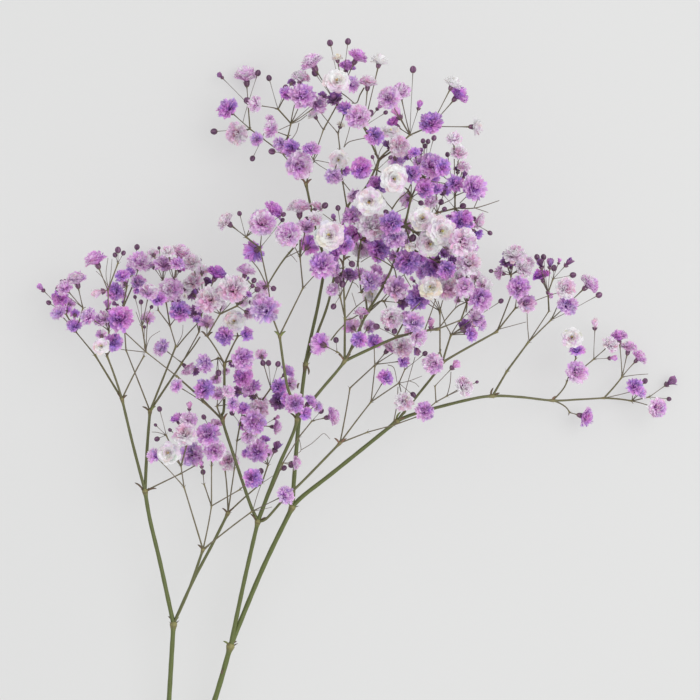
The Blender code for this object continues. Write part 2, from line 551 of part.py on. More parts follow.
def grow():
    """Works out every stem, arm, twig and head: nothing is drawn here."""
    beads = Beads()
    stems, arms, heads, tips = {}, [], [], {}
    for owner, (name, (first, bends, last, thick, thin)) in enumerate(BRANCHES.items()):
        path, radii = stem_path([first] + bends + [last], thick, thin)
        path, radii = start_clear(path, radii, beads, owner)
        stems[name] = (path, radii)
        for n in range(len(path) - 1):
            beads.add(path[n : n + 2], max(radii[n], radii[n + 1]), owner)
    for number, (name, (fork, parts)) in enumerate(SPRAYS.items()):
        owner = len(BRANCHES) + number
        root = fork_spot(fork)
        roots = [spot(*tip) for parent, _, tip, _ in parts if not parent]
        lean = direction(sum(direction(tip - root) for tip in roots))
        hub = root
        while beads.gap(hub[None], KNOT_RADIUS, owner) < GAP:
            hub = hub + lean * 0.1 * MM
        tips[name, ""] = hub
        for parent, key, tip, carried in parts:
            start, end = tips[name, parent], spot(*tip)
            path = np.array((start, end))
            if beads.gap(path, ARM_RADIUS, owner) < GAP:
                path = bend(start, route(start, (start + end) / 2, end, ARM_RADIUS, beads, owner), end, 3)
            arms.append((name, path, [ARM_RADIUS] * len(path)))
            beads.add(path, ARM_RADIUS, owner)
            tips[name, key] = end
            for across, down, width, facing in carried:
                radius = width / 2 * PICTURE_WIDTH / PICTURE_POINTS
                lift, rise, steep = FACINGS[facing]
                reach = np.linalg.norm(spot(across, down, tip[2])[:2] - end[:2])
                height = max(end[2] + lift + rise * reach, radius)
                heads.append(dict(node=name, owner=owner, tip=end, across=across, down=down, height=height,
                                  radius=radius, steep=math.radians(steep)))
    settle(heads, beads)
    for head in heads:
        out = head["at"] - head["tip"]
        level = direction(np.array((out[0], out[1], 0)))
        head["axis"] = level * math.cos(head["steep"]) + np.array((0, 0, math.sin(head["steep"])))
        beads.add(head["at"][None], head["radius"], head["owner"])
    for head in heads:
        tip, at, axis, radius = head["tip"], head["at"], head["axis"], head["radius"]
        path = np.array((tip, at))
        if beads.gap(path, TWIG_RADIUS, head["owner"]) < GAP:
            wanted = at - axis * 0.45 * np.linalg.norm(at - tip)
            path = bend(tip, route(tip, wanted, at, TWIG_RADIUS, beads, head["owner"]), at, 3)
        beads.add(path, TWIG_RADIUS, head["owner"])
        radii = [TWIG_RADIUS] * len(path)
        if radius < SMALL_HEAD:
            axis = direction(axis + direction(at - path[-2]) * 1.2)
            path = np.vstack([path[:-1], at - axis * 0.85 * radius, at, at + axis * 0.85 * radius])
            radii = radii[:-1] + [TWIG_RADIUS * 1.4, radius * 1.08, radius * 0.45]
        arms.append((head["node"], path, radii))
    return stems, arms, heads, tips


def make_material(name, colour, roughness):
    material = bpy.data.materials.new(name)
    material.use_nodes = True
    shader = material.node_tree.nodes["Principled BSDF"]
    shader.inputs["Base Color"].default_value = (*colour, 1)
    shader.inputs["Roughness"].default_value = roughness
    shader.inputs["Metallic"].default_value = 0
    return material


def make_tubes(name, tubes, resolution, collection):
    """A curve object with one round tube for each path; the tube's radii are its points' radii."""
    curve = bpy.data.curves.new(name, "CURVE")
    curve.dimensions = "3D"
    curve.bevel_depth = MM
    curve.bevel_resolution = resolution
    curve.use_fill_caps = True
    for path, radii in tubes:
        spline = curve.splines.new("POLY")
        spline.points.add(len(path) - 1)
        for point, where, radius in zip(spline.points, path, radii):
            point.co = (*where, 1)
            point.radius = radius / MM
    tube = bpy.data.objects.new(name, curve)
    collection.objects.link(tube)
    return tube


def curve_to_mesh(tube):
    """The same object as a mesh whose caps are joined to its walls."""
    bpy.context.view_layer.update()
    shape = tube.evaluated_get(bpy.context.evaluated_depsgraph_get())
    mesh = bpy.data.meshes.new_from_object(shape)
    work = bmesh.new()
    work.from_mesh(mesh)
    bmesh.ops.remove_doubles(work, verts=work.verts, dist=1e-8)
    work.to_mesh(mesh)
    work.free()
    name, where, collection = tube.name, tube.matrix_world.copy(), tube.users_collection[0]
    bpy.data.objects.remove(tube)
    solid = bpy.data.objects.new(name, mesh)
    solid.matrix_world = where
    collection.objects.link(solid)
    return solid


def make_balls(name, heads, knots, collection):
    """The flower heads and the knots of one spray, as closed solids that the spray is joined with."""
    work = bmesh.new()
    for head in heads:
        turn = Vector(head["axis"]).to_track_quat("Z", "Y").to_matrix().to_4x4()
        shape = Matrix.Translation(head["at"]) @ turn @ Matrix.Diagonal((1, 1, HEAD_FLATNESS, 1))
        bmesh.ops.create_icosphere(work, subdivisions=1, radius=head["radius"], matrix=shape)
    for knot in knots:
        bmesh.ops.create_uvsphere(work, u_segments=4, v_segments=2, radius=KNOT_RADIUS,
                                  matrix=Matrix.Translation(knot))
    mesh = bpy.data.meshes.new(name)
    work.to_mesh(mesh)
    work.free()
    balls = bpy.data.objects.new(name, mesh)
    balls.hide_render = True
    balls.display_type = "WIRE"
    collection.objects.link(balls)
    return balls


def make_spray(name, arms, heads, tips, collection, joined):
    """Arms, twigs and small buds as one mesh, joined with the spray's larger heads and its knots."""
    tubes = [(path, radii) for node, path, radii in arms if node == name]
    spray = curve_to_mesh(make_tubes(name, tubes, 0, collection))
    large = [head for head in heads if head["node"] == name and head["radius"] >= SMALL_HEAD]
    knots = [at for (node, _), at in tips.items() if node == name]
    union = spray.modifiers.new("join_heads", "BOOLEAN")
    union.operation = "UNION"
    union.solver = "EXACT"
    union.use_self = True
    union.object = make_balls(name + "_heads", large, knots, joined)
    return spray


def main():
    for thing in list(bpy.data.objects):
        bpy.data.objects.remove(thing)
    plant = bpy.data.collections.new("gypsophila_stem")
    joined = bpy.data.collections.new("joined_shapes")
    for collection in (plant, joined):
        bpy.context.scene.collection.children.link(collection)
    stems, arms, heads, tips = grow()
    for name, (path, radii) in stems.items():
        stem = make_tubes(name, [(path, radii)], 1, plant)
        colour = GREEN if radii[0] > 0.55 * MM else BROWN
        stem.data.materials.append(make_material(name, colour, 0.55))
    colours = {name: colour for colour, names in SPRAY_COLOURS.items() for name in names}
    for name in SPRAYS:
        spray = make_spray(name, arms, heads, tips, plant, joined)
        spray.data.materials.clear()
        spray.data.materials.append(make_material(name, colours.get(name, VIOLET), 0.8))


main()
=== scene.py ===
# A stem of dyed double gypsophila lying on a pale table, seen from straight above.
import json
import math

import bpy
import numpy as np
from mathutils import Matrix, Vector

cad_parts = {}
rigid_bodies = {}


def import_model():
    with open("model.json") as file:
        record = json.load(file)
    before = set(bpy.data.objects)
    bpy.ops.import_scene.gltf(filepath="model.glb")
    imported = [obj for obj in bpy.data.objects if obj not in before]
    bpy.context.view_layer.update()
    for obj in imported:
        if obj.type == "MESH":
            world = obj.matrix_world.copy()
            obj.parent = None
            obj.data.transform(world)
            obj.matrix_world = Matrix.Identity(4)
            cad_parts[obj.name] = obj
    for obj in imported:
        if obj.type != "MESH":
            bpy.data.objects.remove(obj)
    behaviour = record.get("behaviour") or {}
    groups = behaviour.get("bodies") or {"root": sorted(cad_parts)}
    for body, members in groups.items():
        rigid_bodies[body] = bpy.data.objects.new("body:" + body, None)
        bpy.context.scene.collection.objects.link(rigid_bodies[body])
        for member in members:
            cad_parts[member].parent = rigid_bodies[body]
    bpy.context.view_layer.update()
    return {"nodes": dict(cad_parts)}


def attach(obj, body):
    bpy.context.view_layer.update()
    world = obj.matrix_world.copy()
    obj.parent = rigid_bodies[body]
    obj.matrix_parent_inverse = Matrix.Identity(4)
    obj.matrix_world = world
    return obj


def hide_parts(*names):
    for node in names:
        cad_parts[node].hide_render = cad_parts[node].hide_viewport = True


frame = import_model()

print("frame loaded with", len(frame["nodes"]), "pieces")

mm = 0.001

# The picture is 700 points wide, and these say where a point of it is in metres.
picture = {
    "width": 0.245,  # real width of the picture at the middle height
    "points": 700,
    "middleHeight": 0.026,
    "eyeHeight": 0.700,
    "eyeAcross": -0.00269,
    "eyeUp": 0.0451,
}

# The same rules of growth as the solids follow, so that every flower sits where its solid is.
growth = {
    "gap": 0.00045,  # least room between one piece and the next
    "far": 0.006,  # no gap wider than this is measured
    "beadStep": 0.5,  # millimetres between the balls that stand for a solid
    "jointSwell": 1.5,
    "jointLength": 0.0017,
    "jointMost": 0.3,  # most of a leg that a joint takes up
    "jointClear": 1.8,  # sections nearer to a joint than this many joint lengths are left out
    "stemStep": 0.010,
    "tipLong": 0.5,  # a stem's rounded tip, in radii
    "tipThin": 0.6,
    "armRadius": 0.00030,
    "twigRadius": 0.00022,
    "knotRadius": 0.00055,
    "knotStep": 0.1,  # millimetres that a knot moves at a time to get clear
    "finestSolid": 7,  # heads narrower than this many points have no solid of their own
    "lifts": (0, 1, -1, 2, -2, 3, -3, 4.5, -4.5, 6, -6, 8, -8, 10, -10),  # ways round other pieces, in mm
    "swings": (0, 1.5, -1.5, 3, -3),
    "twigPull": 0.45,  # how far below its flower a bent twig turns, as a share of its length
    "settleRounds": 90,
    "settleHeads": 0.35,  # share of an overlap that one round takes away
    "settleStems": 0.6,
}

# Lift in metres, lift for each metre of reach, and steepness in degrees of a front, half, side and back view.
facings = {
    "F": (0.0030, 0.55, 72),
    "H": (0.0015, 0.30, 42),
    "S": (0.0, 0.05, 6),
    "B": (-0.0030, -0.40, -48),
}

# Forks of the plant: across and down the picture, then height above the surface in millimetres.
forks = {
    "cut_end": (155, 884, 0.91),
    "base_fork": (161, 826, 3.0),
    "left_fork": (173.5, 624, 15),
    "right_fork": (230.5, 646, 13),
    "outer_fork": (145, 491, 21),
    "inner_fork": (203, 549.5, 24),
    "middle_fork": (228, 513, 15),
    "centre_fork": (258, 521, 22),
    "lower_right_fork": (292.4, 507, 17),
    "upper_left_fork": (122, 399, 26),
    "upper_middle_fork": (150, 411, 18),
    "knee_fork": (222.5, 420, 25),
    "heart_fork": (297, 419, 34),
    "gap_fork": (340, 443, 24),
    "bract_fork": (305.5, 365, 21),
    "elbow_fork": (397, 421, 21),
    "crown_fork": (279.5, 335.7, 40),
    "star_fork": (344.7, 361, 37),
    "crest_fork": (224.5, 364, 34),
    "tall_fork": (324, 262, 28),
    "cross_fork": (306, 184, 32),
    "twin_fork": (347, 208, 40),
    "high_fork": (379, 160, 42),
    "rose_fork": (367, 313, 38),
    "mass_fork": (405, 225, 42),
    "rail_fork": (438, 329, 38),
    "arm_fork": (492.5, 396, 20),
    "shoulder_fork": (442.5, 362.5, 29),
    "fan_fork": (497, 331.5, 25),
    "reach_fork": (552.5, 400.5, 15),
    "tip_fork": (604, 398, 10),
    "top_left_fork": (282, 153, 25),
}

# Branches: fork it leaves, bends on the way, fork it ends in, radius at its start and end in millimetres.
branches = {
    "cut_base_stem": ("cut_end", [], "base_fork", 1.05, 1.0),
    "left_main_stem": ("base_fork", [(166, 750, 8)], "left_fork", 0.85, 0.75),
    "right_main_stem": ("base_fork", [(186, 775, 5), (213, 705, 9)], "right_fork", 0.95, 0.85),
    "left_outer_branch": ("left_fork", [(160, 562, 18), (150, 520, 20)], "outer_fork", 0.72, 0.62),
    "left_inner_branch": ("left_fork", [(188, 592, 19)], "inner_fork", 0.46, 0.42),
    "left_middle_branch": ("left_fork", [(192, 583, 14), (213, 543, 14)], "middle_fork", 0.52, 0.46),
    "centre_branch": ("right_fork", [(244, 582, 17)], "centre_fork", 0.72, 0.64),
    "right_branch": ("right_fork", [(262, 570, 14)], "lower_right_fork", 0.82, 0.74),
    "outer_left_arm": ("outer_fork", [(133, 445, 24)], "upper_left_fork", 0.5, 0.42),
    "outer_middle_arm": ("outer_fork", [(147, 450, 19)], "upper_middle_fork", 0.55, 0.45),
    "gap_branch": ("centre_fork", [(266, 519, 23.5), (284, 499, 25), (303, 481, 25)], "gap_fork", 0.42, 0.38),
    "long_right_branch": ("lower_right_fork", [(303, 496, 18), (335, 471, 19)], "elbow_fork", 0.72, 0.6),
    "knee_branch": ("centre_fork", [(250.5, 505, 22), (236.6, 464, 23), "knee_fork", (224, 408, 27)],
                    "crest_fork", 0.56, 0.38),
    "heart_branch": ("centre_fork", [(278, 468, 28), "heart_fork", (287, 385, 37)], "crown_fork", 0.68, 0.38),
    "tall_stem": ("lower_right_fork", [(294, 480, 18), (299, 420, 19), "bract_fork", (311, 337, 22),
                  (319, 300, 24), "tall_fork", (316, 232, 29), (310, 203, 31)], "cross_fork", 0.72, 0.38),
    "twin_stem": ("bract_fork", [(317, 334, 25), (329, 300, 30), (339, 250, 36), "twin_fork",
                  (366, 187, 40)], "high_fork", 0.44, 0.32),
    "star_branch": ("heart_fork", [(321, 390, 36), "star_fork", (357, 335, 37), "rose_fork", (385, 283, 40),
                    (396, 256, 41)], "mass_fork", 0.52, 0.32),
    "rail_branch": ("star_fork", [(370, 349, 37), (398, 337, 38), (424, 331, 38)], "rail_fork", 0.5, 0.36),
    "right_arm": ("elbow_fork", [(417, 413, 21), (467, 400, 22), "arm_fork", (520, 397, 18), "reach_fork",
                  (578, 399.5, 13)], "tip_fork", 0.58, 0.27),
    "shoulder_branch": ("elbow_fork", [(413, 401, 24), (435, 373.5, 28), "shoulder_fork"], "fan_fork",
                        0.44, 0.32),
}

# Sprays: the fork each grows from, then a line for each arm: the arm it grows from (- is the hub at the
# fork), its own letter and its tip (across, down, height), and after the colon the heads on that tip.
# A head is: across, down and width in the picture, tint, and how it faces: F front, H half, S side, B back.
sprays = {
    "left_tip_spray": ("upper_left_fork",
        "- a 95 355 23",
        "a b 76 332 14: 74 325 16 violet H, 58 312 17 lilac H, 75 313 11 violet B",
        "b c 83 308 21: 76 279 21 haze S, 58 289 5.5 bud S, 64 287 18 pink H",
        "b d 66 314 8: 60 298 18 magenta F, 70 303 13 mauve B, 48.7 302.7 5.5 bud S, "
            "42 289 9 openPink S, 61.5 281.5 4 bud S, 64.7 281 4 bud S, 66 309 12 orchid B"),
    "left_back_spray": ("upper_middle_fork",
        "- a 126 350 13",
        "a b 123 308 11: 116 304.5 7 openPlum S, 123.5 304 6 openPlum S",
        "b c 127 286 13: 122 275 16 violet H, 130 272 12 violet S, 124 283 9 mauve B, "
            "114.5 291.5 18 violet F, 121 295 12 mauve B",
        "b d 133 285 6: 140 261 25 pink H, 139 283 18 lilac H, 137 291 8 violet H, 137 247 6 bud S, "
            "133 265 14 mauve B"),
    "crown_edge_spray": ("upper_middle_fork",
        "- a 176 346 20",
        "a b 170 326 22: 180 311 21 violet F",
        "b c 158 310 24: 158.5 298 17 violet H",
        "b d 166 302 20: 171 289 25 haze F, 176 300 15 plum B, 185 296 7 cream H, 186 288 14 blush B",
        "d e 163 281 17: 164 263 21 mauve H, 155 261 7 cream S, 159 248 3.5 bud S, "
            "152 265 11 mauve S, 153 253 13 blush B",
        "d f 174 281 22: 177 263 15 orchid H, 181 268 10 magenta S, 181 252 22 blush S, "
            "168 251 15 blush H"),
    "crown_low_spray": ("upper_middle_fork",
        "- a 182 363 14: 161 347 18 lilac H, 188 369 16 haze S, 196 371 11 plum B",
        "a b 199 332 11: 195 312 16 plum B, 197 319 10 violet H",
        "b c 203 306 11: 193 281 21 blush H, 192 293 15 plum B, 192 262 20 blush H, 200 260 4 bud S, "
            "207 281 13 plum S, 217 273 20 violet S, 202 270 15 blush B"),
    "knee_spray": ("knee_fork",
        "- a 203 402 29: 176 385 15 lilac H, 204 389 20 violet F",
        "- b 217 406 31: 218 393 16 haze H, 234 404 15 lilac H, 229 391 14 haze H"),
    "inner_left_spray": ("inner_fork",
        "- a 184 487 28: 154 455 16 lilac H",
        "a b 181 466 30: 168 453 23 white F",
        "b c 166 435 31: 159.5 409 5.5 bud S, 155.5 425 3.5 bud S, 157 439 5.5 bud S",
        "b d 187 444 33: 185 434 23 blush F, 177 418 14 orchid S, 189 419 18 haze H, "
            "189.5 407.5 7.5 openPink S, 170 430 4 bud S"),
    "low_left_spray": ("outer_fork",
        "- a 181 473.5 17",
        "a b 198 464 16: 191 453 25 lilac F"),
    "heart_spray": ("heart_fork",
        "- a 299 411 37: 294 403 19 orchid F, 306 414 14 violet H, 286 405 6 magenta S, "
            "311 401 15 lilac S, 286 398 13 magenta B, 318 406 12 lilac B"),
    "curl_spray": ("centre_fork",
        "- a 283 463 25: 296 463 14 haze S, 291 465.5 5.5 bud S",
        "a b 299 437 27",
        "b c 312 421 29: 321 411 6 bud S, 333 416 19 haze S"),
    "crown_inner_spray": ("crown_fork",
        "- a 272 316 42: 265 309 27 lilac F, 258 301 18 haze H, 252 302.5 6.5 bud S",
        "a b 268 285 40: 273.5 288.5 6 bud F, 262 289 17 haze B",
        "b c 260 248 38: 253 252 22 violet B, 262 222 26 pink F, 282.5 220 4.5 bud S",
        "c d 246 237 36: 225 221 19 blush S, 230 223.5 4.5 bud S, 239.5 213.5 5 bud S, "
            "254.5 214.5 4.5 bud S, 258 212 4.5 bud S, 274 210 21 orchid S, 283.5 214.5 5 bud S"),
    "crown_right_spray": ("crown_fork",
        "- a 303 288 44: 323 265 26 orchid F",
        "a b 300 257 43: 288 234 25 pink F, 310 244 21 magenta B, 306 226 18 mauve H",
        "b c 300 232 42: 299 207 23 blush S, 306.5 219 5 bud S, 314.5 216.5 5 bud S, "
            "316 218 16 blush H, 325 205.5 6.5 bud S, 317 206 13 blush S"),
    "rail_bud_spray": ("rail_fork",
        "- a 431 330 41: 431 325 10 openPink S",
        "a b 412 333 43: 414 322 20 lilac F, 419 339 20 haze H, 416 348 10 openPlum S, "
            "406 316 14 mauve B, 412 330 14 mauve B",
        "b c 395 336 43: 376.5 326.5 6.5 bud S, 387.5 328 6.5 bud S, 394.5 331 6 bud H"),
    "rail_tip_spray": ("rail_fork",
        "- a 461 320 36",
        "a b 467 303 35: 481 299 23 orchid F, 464 287 20 pink F, 485 284 17 blush B, "
            "473 286 5.5 bud H, 469 263 25 blush F, 468 276 5.5 bud H, 459 276 17 blush H, "
            "457 300 9 mauve B, 477 276 15 blush B"),
    "mass_white_spray": ("mass_fork",
        "- a 414 232 48: 423 218 25 white F, 430 244 27 white F, 442 231 28 white F, "
            "413 238 7.5 bud H, 464 242 27 blush F, 410 248 11 cream H, 449 250 14 blush B"),
    "mass_top_spray": ("mass_fork",
        "- a 411 198 43: 405 200 16 mauve B, 412 173 18 violet F, 421 203 5.5 bud S, "
            "425 188 19 magenta F",
        "a b 421 176 44: 432 165 24 orchid F, 443 167 17 violet F, 414 152 13 violet H, "
            "408 156 10 plum B, 421 152 6.5 openPlum S, 423 141 5 bud S, 428 141.5 5 bud S, "
            "425 146 5 bud S, 434 138 5.5 bud S, 420 161 15 pink H, 434 177 15 violet B"),
    "mass_right_spray": ("mass_fork",
        "- a 437 213 38: 436 188 14 violet H, 431 201 15 haze H, 441 202 6 bud S, 444.5 209 5 bud H, "
            "445 190 13 violet B",
        "a b 455 208.5 37: 462 222 24 violet F, 452 218 13 lilac S, 463 206 6.5 bud H, "
            "477 235 14 violet S, 490 233 5 bud S, 442 193 5.5 bud S, 479 221 17 blush S, 473 249 12 haze B",
        "b c 455 196 38: 455 183 17 violet F, 447 185 8 plum B, 475 187 24 orchid F, "
            "458 169 10 plum S, 464 176 7 openPlum S, 454 138 16 blush H, 459 152 17 blush H, "
            "447.5 154.5 5 bud S, 464 166 14 blush H"),
    "twin_left_spray": ("twin_fork",
        "- a 342.5 181 38: 354 196 15 mauve H",
        "a b 340 150 35: 338.5 160 20 white F, 333 177 18 lilac H, 345 171 12 violet H",
        "b c 338 133 33: 346 108 17 violet H, 341 124 10 cream S"),
    "high_left_spray": ("high_fork",
        "- a 364 127 44: 358 116 24 pink F, 375 136 18 violet F, 370.5 113 6.5 bud S, "
            "378.5 107.5 8 openPink S, 385.7 112.5 4.5 bud S, 368 82 18 blush S, 380 59 19 white S"),
    "high_right_spray": ("high_fork",
        "- a 392 151 40: 400 146 21 blush F, 391 130 19 white H, 397 162 17 lilac B, "
            "388 146 9 openPlum S",
        "a b 410 135 38: 398 114 14 openPink S, 393 123 17 magenta S, 389 97 22 pink F, "
            "400 91 21 pink H, 413 69.5 7 bud S, 419 106.5 8.5 openPink S",
        "b c 431 126 36: 431 122 22 violet F, 454 82 19 white S, 459 94 20 orchid S, 478 127 19 white S"),
    "left_shoulder_spray": ("upper_left_fork",
        "- a 107 356 31: 101 346 17 white F, 113.5 342 18 violet F, 101 334 12 mauve B",
        "a b 109 331 33: 102 318 19 mauve H, 108 307 11 openPink S, 88 316 18 lilac H, "
            "110 322 12 haze B",
        "b c 108 290 35: 95 259 22 pink S, 100 292 12 openBlush S",
        "c d 118 263 36: 118 250 6.5 bud S, 115 255 5 bud S, 123.5 253 5 bud S",
        "- e 144 356 22: 144.5 327 3.5 bud S"),
    "left_reach_spray": ("knee_fork",
        "- a 200 397 27",
        "a b 176.5 376 28",
        "b c 146 352 30: 148 317 15 mauve B",
        "c d 124.5 332 32: 120 318 25 magenta F",
        "c e 142 326 27: 141 302 5 bud S, 135 297 4 bud S, 151.5 307 4 bud S, 149 291 19 haze H"),
    "crest_spray": ("crest_fork",
        "- a 207 336 37: 207 322 17 mauve B",
        "a b 220 314 39: 209 299 26 blush F, 223.5 294 6 bud H, 200 306 14 mauve B, 220 305 13 blush B",
        "b c 237 306 40: 233 288 28 blush F, 231.5 294.5 6 bud H, 246 270 18 haze S, "
            "249 294 7 violet H, 254 280.5 5.5 bud S, 257.5 289.5 6 bud S, 243 300 15 blush B, "
            "247.5 279.5 4.5 openPlum S, 252.5 286 4.5 bud S, 249 314 14 mauve B",
        "- d 238 336 33: 247 333.5 15 violet H, 224 336 18 violet F, 234 321 23 white F",
        "- e 232 361 35: 243 359 22 orchid F, 233 364 10 plum B",
        "- f 218 358 32: 204 364 19 lilac H, 218.5 373 6.5 bud S, 216 380 12 mauve B, 226 372 9 haze B"),
    "inner_middle_spray": ("inner_fork",
        "- a 211.5 506 27",
        "a b 211.5 466 29: 215 450 22 pink F, 208 434 23 orchid F",
        "a c 204 484 25: 203 472 5.5 bud S, 201.5 465 8 openPink S",
        "a d 240 489.5 30: 253 478 19 violet F",
        "- e 252 511.5 31: 286 495 19 lilac H"),
    "middle_edge_spray": ("middle_fork",
        "- a 225 470 11: 229 461 20 blush F",
        "a b 217 440 9: 215 424 16 mauve S, 203.8 417 5.5 bud S",
        "- c 262 483 15: 261 471 6 bud S, 284 468 6 bud S",
        "c d 268 465 16: 257 450 23 orchid F, 245 453 10 violet H, 276 448 12 openPlum S, "
            "264 440 12 violet S, 268 452 12 haze B"),
    "middle_spray": ("middle_fork",
        "- a 234.5 468 18",
        "a b 237 441 20",
        "b c 240 424 23: 250 437 18 haze H, 254 422 24 orchid F, 243 408 15 violet H, "
            "243.5 418 6.5 bud H, 232 413 5.5 bud S, 244 424 13 magenta B",
        "b d 262 426 18: 277 427 15 haze S, 276 418 6 openPink S",
        "d e 261 402 17: 258 410 21 blush F, 243 377 20 magenta F, 247 392 12 violet S, "
            "253 396 10 plum B, 251 387 19 orchid H, 262 403 14 haze B, 237 391 13 plum B",
        "e f 271 388 19: 280 387 17 violet F, 279 401 19 plum F, 263 363 6 bud S, 268.5 363 6 bud S, "
            "278 364 6 bud S, 288 371 16 lilac S, 292 384 14 haze B, 261 354 14 mauve B"),
    "mast_spray": ("star_fork",
        "- a 345 318 41",
        "a b 343 268 45: 333 268 17 lilac H, 340 277 12 mauve B",
        "b c 344 254 47: 344 244 19 violet F, 334 254 14 violet H, 352 264 6.5 bud S, "
            "329 235 29 white F, 334 219 7 openPlum S, 338 208 5.5 bud S, 341 229 12 magenta B",
        "a d 340 296 42: 337.5 280 7 bud H, 333 289 15 haze H, 342.5 284 7 bud H, "
            "333.5 306.5 6 bud S, 350 274 16 plum H",
        "- e 337 352 38: 319.5 343 22 orchid B, 336 340 6 bud H",
        "- f 361 338 42: 351 325 18 mauve B, 361 312 14 haze S, 359 340 16 violet F, 370 326 15 mauve B"),
    "rose_spray": ("rose_fork",
        "- a 361 292 35: 371 281 21 lilac F, 371.5 294 20 cream H, 377 270 15 haze S, "
            "387 283 19 mauve B, 360 273 14 mauve B",
        "a b 358 262 33",
        "b c 361 240 35: 352 234 22 magenta H, 352 215 21 orchid H, 372 225 29 blush F, "
            "379 249 24 violet F, 361 251 19 blush B, 367 238 16 orchid B",
        "- d 384 301 41: 397 288 24 mauve F, 403 303 14 plum B, 392 318 22 blush F"),
    "mass_violet_spray": ("mass_fork",
        "- a 399 222 40: 391 223 22 violet F, 394 237 22 lilac F, 405 227 18 mauve B, "
            "380 218.5 6.5 bud S, 386 212 5.5 bud S, 400 222.5 5 bud H, 404 243 15 mauve B, "
            "412 226 12 plum B, 386 232 14 orchid B",
        "- b 414 250 37: 407 262 25 violet F, 421 259 15 violet H, 394 257 14 mauve B",
        "b c 438 262 36: 433 268 24 violet F, 447 270 18 violet F, 437 257 10 openPlum H, "
            "444 253 12 plum H, 453 261 13 plum H, 421 273 15 lilac B, 459 268.5 4.5 bud S"),
    "gap_spray": ("gap_fork",
        "- a 350 388 20",
        "a b 376 364 20: 404 361 14 violet H, 403 347 21 blush F, 390 347 18 blush S",
        "- c 371 402 27: 386 377 17 violet H",
        "c d 375 366 29: 374 341 17 violet H",
        "c e 399 383 28: 404 402 19 blush F, 413 395 6.5 bud H",
        "e f 405 369 29: 425 353.5 5.5 bud S"),
    "low_twig_spray": ("gap_fork",
        "- a 368 432 26",
        "a b 394 425 28",
        "b c 419 416 29: 425 411 19 orchid F",
        "c d 436 402 30",
        "d e 435 386 32: 454 366 11 openPink S",
        "d f 447 396 30: 465 386 21 blush H, 477 382 3.5 bud S"),
    "shoulder_spray": ("shoulder_fork",
        "- a 440 352 32: 433 364 21 pink F",
        "a b 440 311 33: 430 287 24 cream F, 447 287 25 blush F, 418 297 24 violet F, "
            "413 280 6.5 openPink S",
        "- c 451 335 27: 466 326 17 plum B, 472 334 15 violet H, 476 317 20 mauve H, "
            "501 301 5.5 bud S, 482 324 13 lilac B"),
    "fan_spray": ("fan_fork",
        "- a 511.5 294 23",
        "a b 511 275 22: 506 261 14 plum H, 505 256 6.5 openPlum S, 515 254 23 blush H, "
            "499 273 14 haze S, 491 271 4.5 bud S, 524 268 20 blush H, 511 264 11 violet S, "
            "529 262 13 blush B",
        "- c 515.5 308 28: 519 287 22 orchid F, 527 303 19 mauve F"),
    "right_crest_spray": ("arm_fork",
        "- a 507 371 24",
        "a b 528.5 342 27",
        "b c 549 311 24",
        "c d 548 293 22: 541 275 18 magenta S, 550 265 10 openPlum S, 537 257 6 bud S, "
            "543.5 257 6 bud S, 541 265 10 openPlum S, 549 294 8 openPink S",
        "d e 553 279 21: 554 268 6.5 bud S, 559 262 6 openPink S, 567.5 263.5 10 openPlum S, "
            "573 275 6.5 bud S",
        "b f 551 320 29: 568 305 20 lilac F, 566 288 21 blush F, 590 283 21 haze S, 599 295 6.5 bud S"),
    "reach_spray": ("reach_fork",
        "- a 567 381 17: 578 372 23 pink F",
        "a b 576 358 15: 572 337 22 white F, 577 349 16 violet H",
        "a c 594 359 12: 595 326 10 openBlush S, 611 344 18 blush H, 611.5 358 9 openPink S",
        "- d 569.5 412.5 8: 586 417 20 lilac S"),
    "tip_spray": ("tip_fork",
        "- a 622 377 10: 619 336 18 pink S, 629 347 18 haze S, 640 357 17 pink S",
        "- b 632 401 5: 658 408 20 pink F, 635 386 17 violet F, 641.5 392 13 lilac H, 645 381 6 bud S",
        "b c 649 397 3: 669 383 12 openPlum S, 669 399 5 bud S"),
    "top_left_spray": ("cross_fork",
        "- a 302 178 31",
        "a b 282 153 25: 272 151.5 7 bud S",
        "b c 262 138 17: 252.5 158.5 6 bud S, 256 139 14 lilac F, 270 118 10 haze H",
        "c d 250 129 11: 236 134 23 blush F, 214 131.5 7 bud S, 227 108 22 violet H",
        "d e 248 104 4: 247 100.5 7.5 bud F, 246 75 25 haze S, 258 73 6.5 bud S, "
            "221 76.5 7.5 openPlum S"),
    "top_inner_spray": ("top_left_fork",
        "- a 288 136 32: 280 145 17 lilac H, 291 148 17 violet F, 270 129 18 haze H",
        "a b 291 123.5 33: 303 95 25 orchid F, 301 77 19 blush S, 319 104 19 mauve H, 323 96 11 plum B",
        "b c 278 109 31: 269 78 6 bud S, 287 93 16 violet H, 285.5 87.5 6 bud S, 254 104 17 haze H, "
            "292 82 9 plum B",
        "- d 293 159 36: 300 166 27 pink F"),
    "top_middle_spray": ("cross_fork",
        "- a 312 163 36: 311 148 18 orchid H",
        "a b 323.5 129.5 37: 313 113 15 white S",
        "b c 337 105 38: 334 98 17 plum H, 337 80 25 white F, 315 73 7 bud S, 311 62 23 haze S",
        "c d 342 87 36: 330 43 6.5 bud S, 348 41.5 6.5 bud S, 337 57 12 cream S, 347 66 17 orchid S, "
            "358 56 20 pink S, 353 84 16 lilac H"),
    "high_low_spray": ("high_fork",
        "- a 377 170 47: 361 168 21 magenta F, 394.5 179 27 white F, 377 186 19 violet F, "
            "369 202 28 white F, 390.5 157.5 4.5 bud S, 372.5 157 4 bud S"),
}


def readArm(row):
    # an arm's line taken apart: what it grows from, its letter, its tip, and the heads on it
    arm, _, heads = row.partition(":")
    parent, key, *tip = arm.split()
    carried = [head.split() for head in heads.split(",") if head]
    return (parent.strip("-"), key, [float(number) for number in tip],
            [(*map(float, head[:3]), *head[3:]) for head in carried])


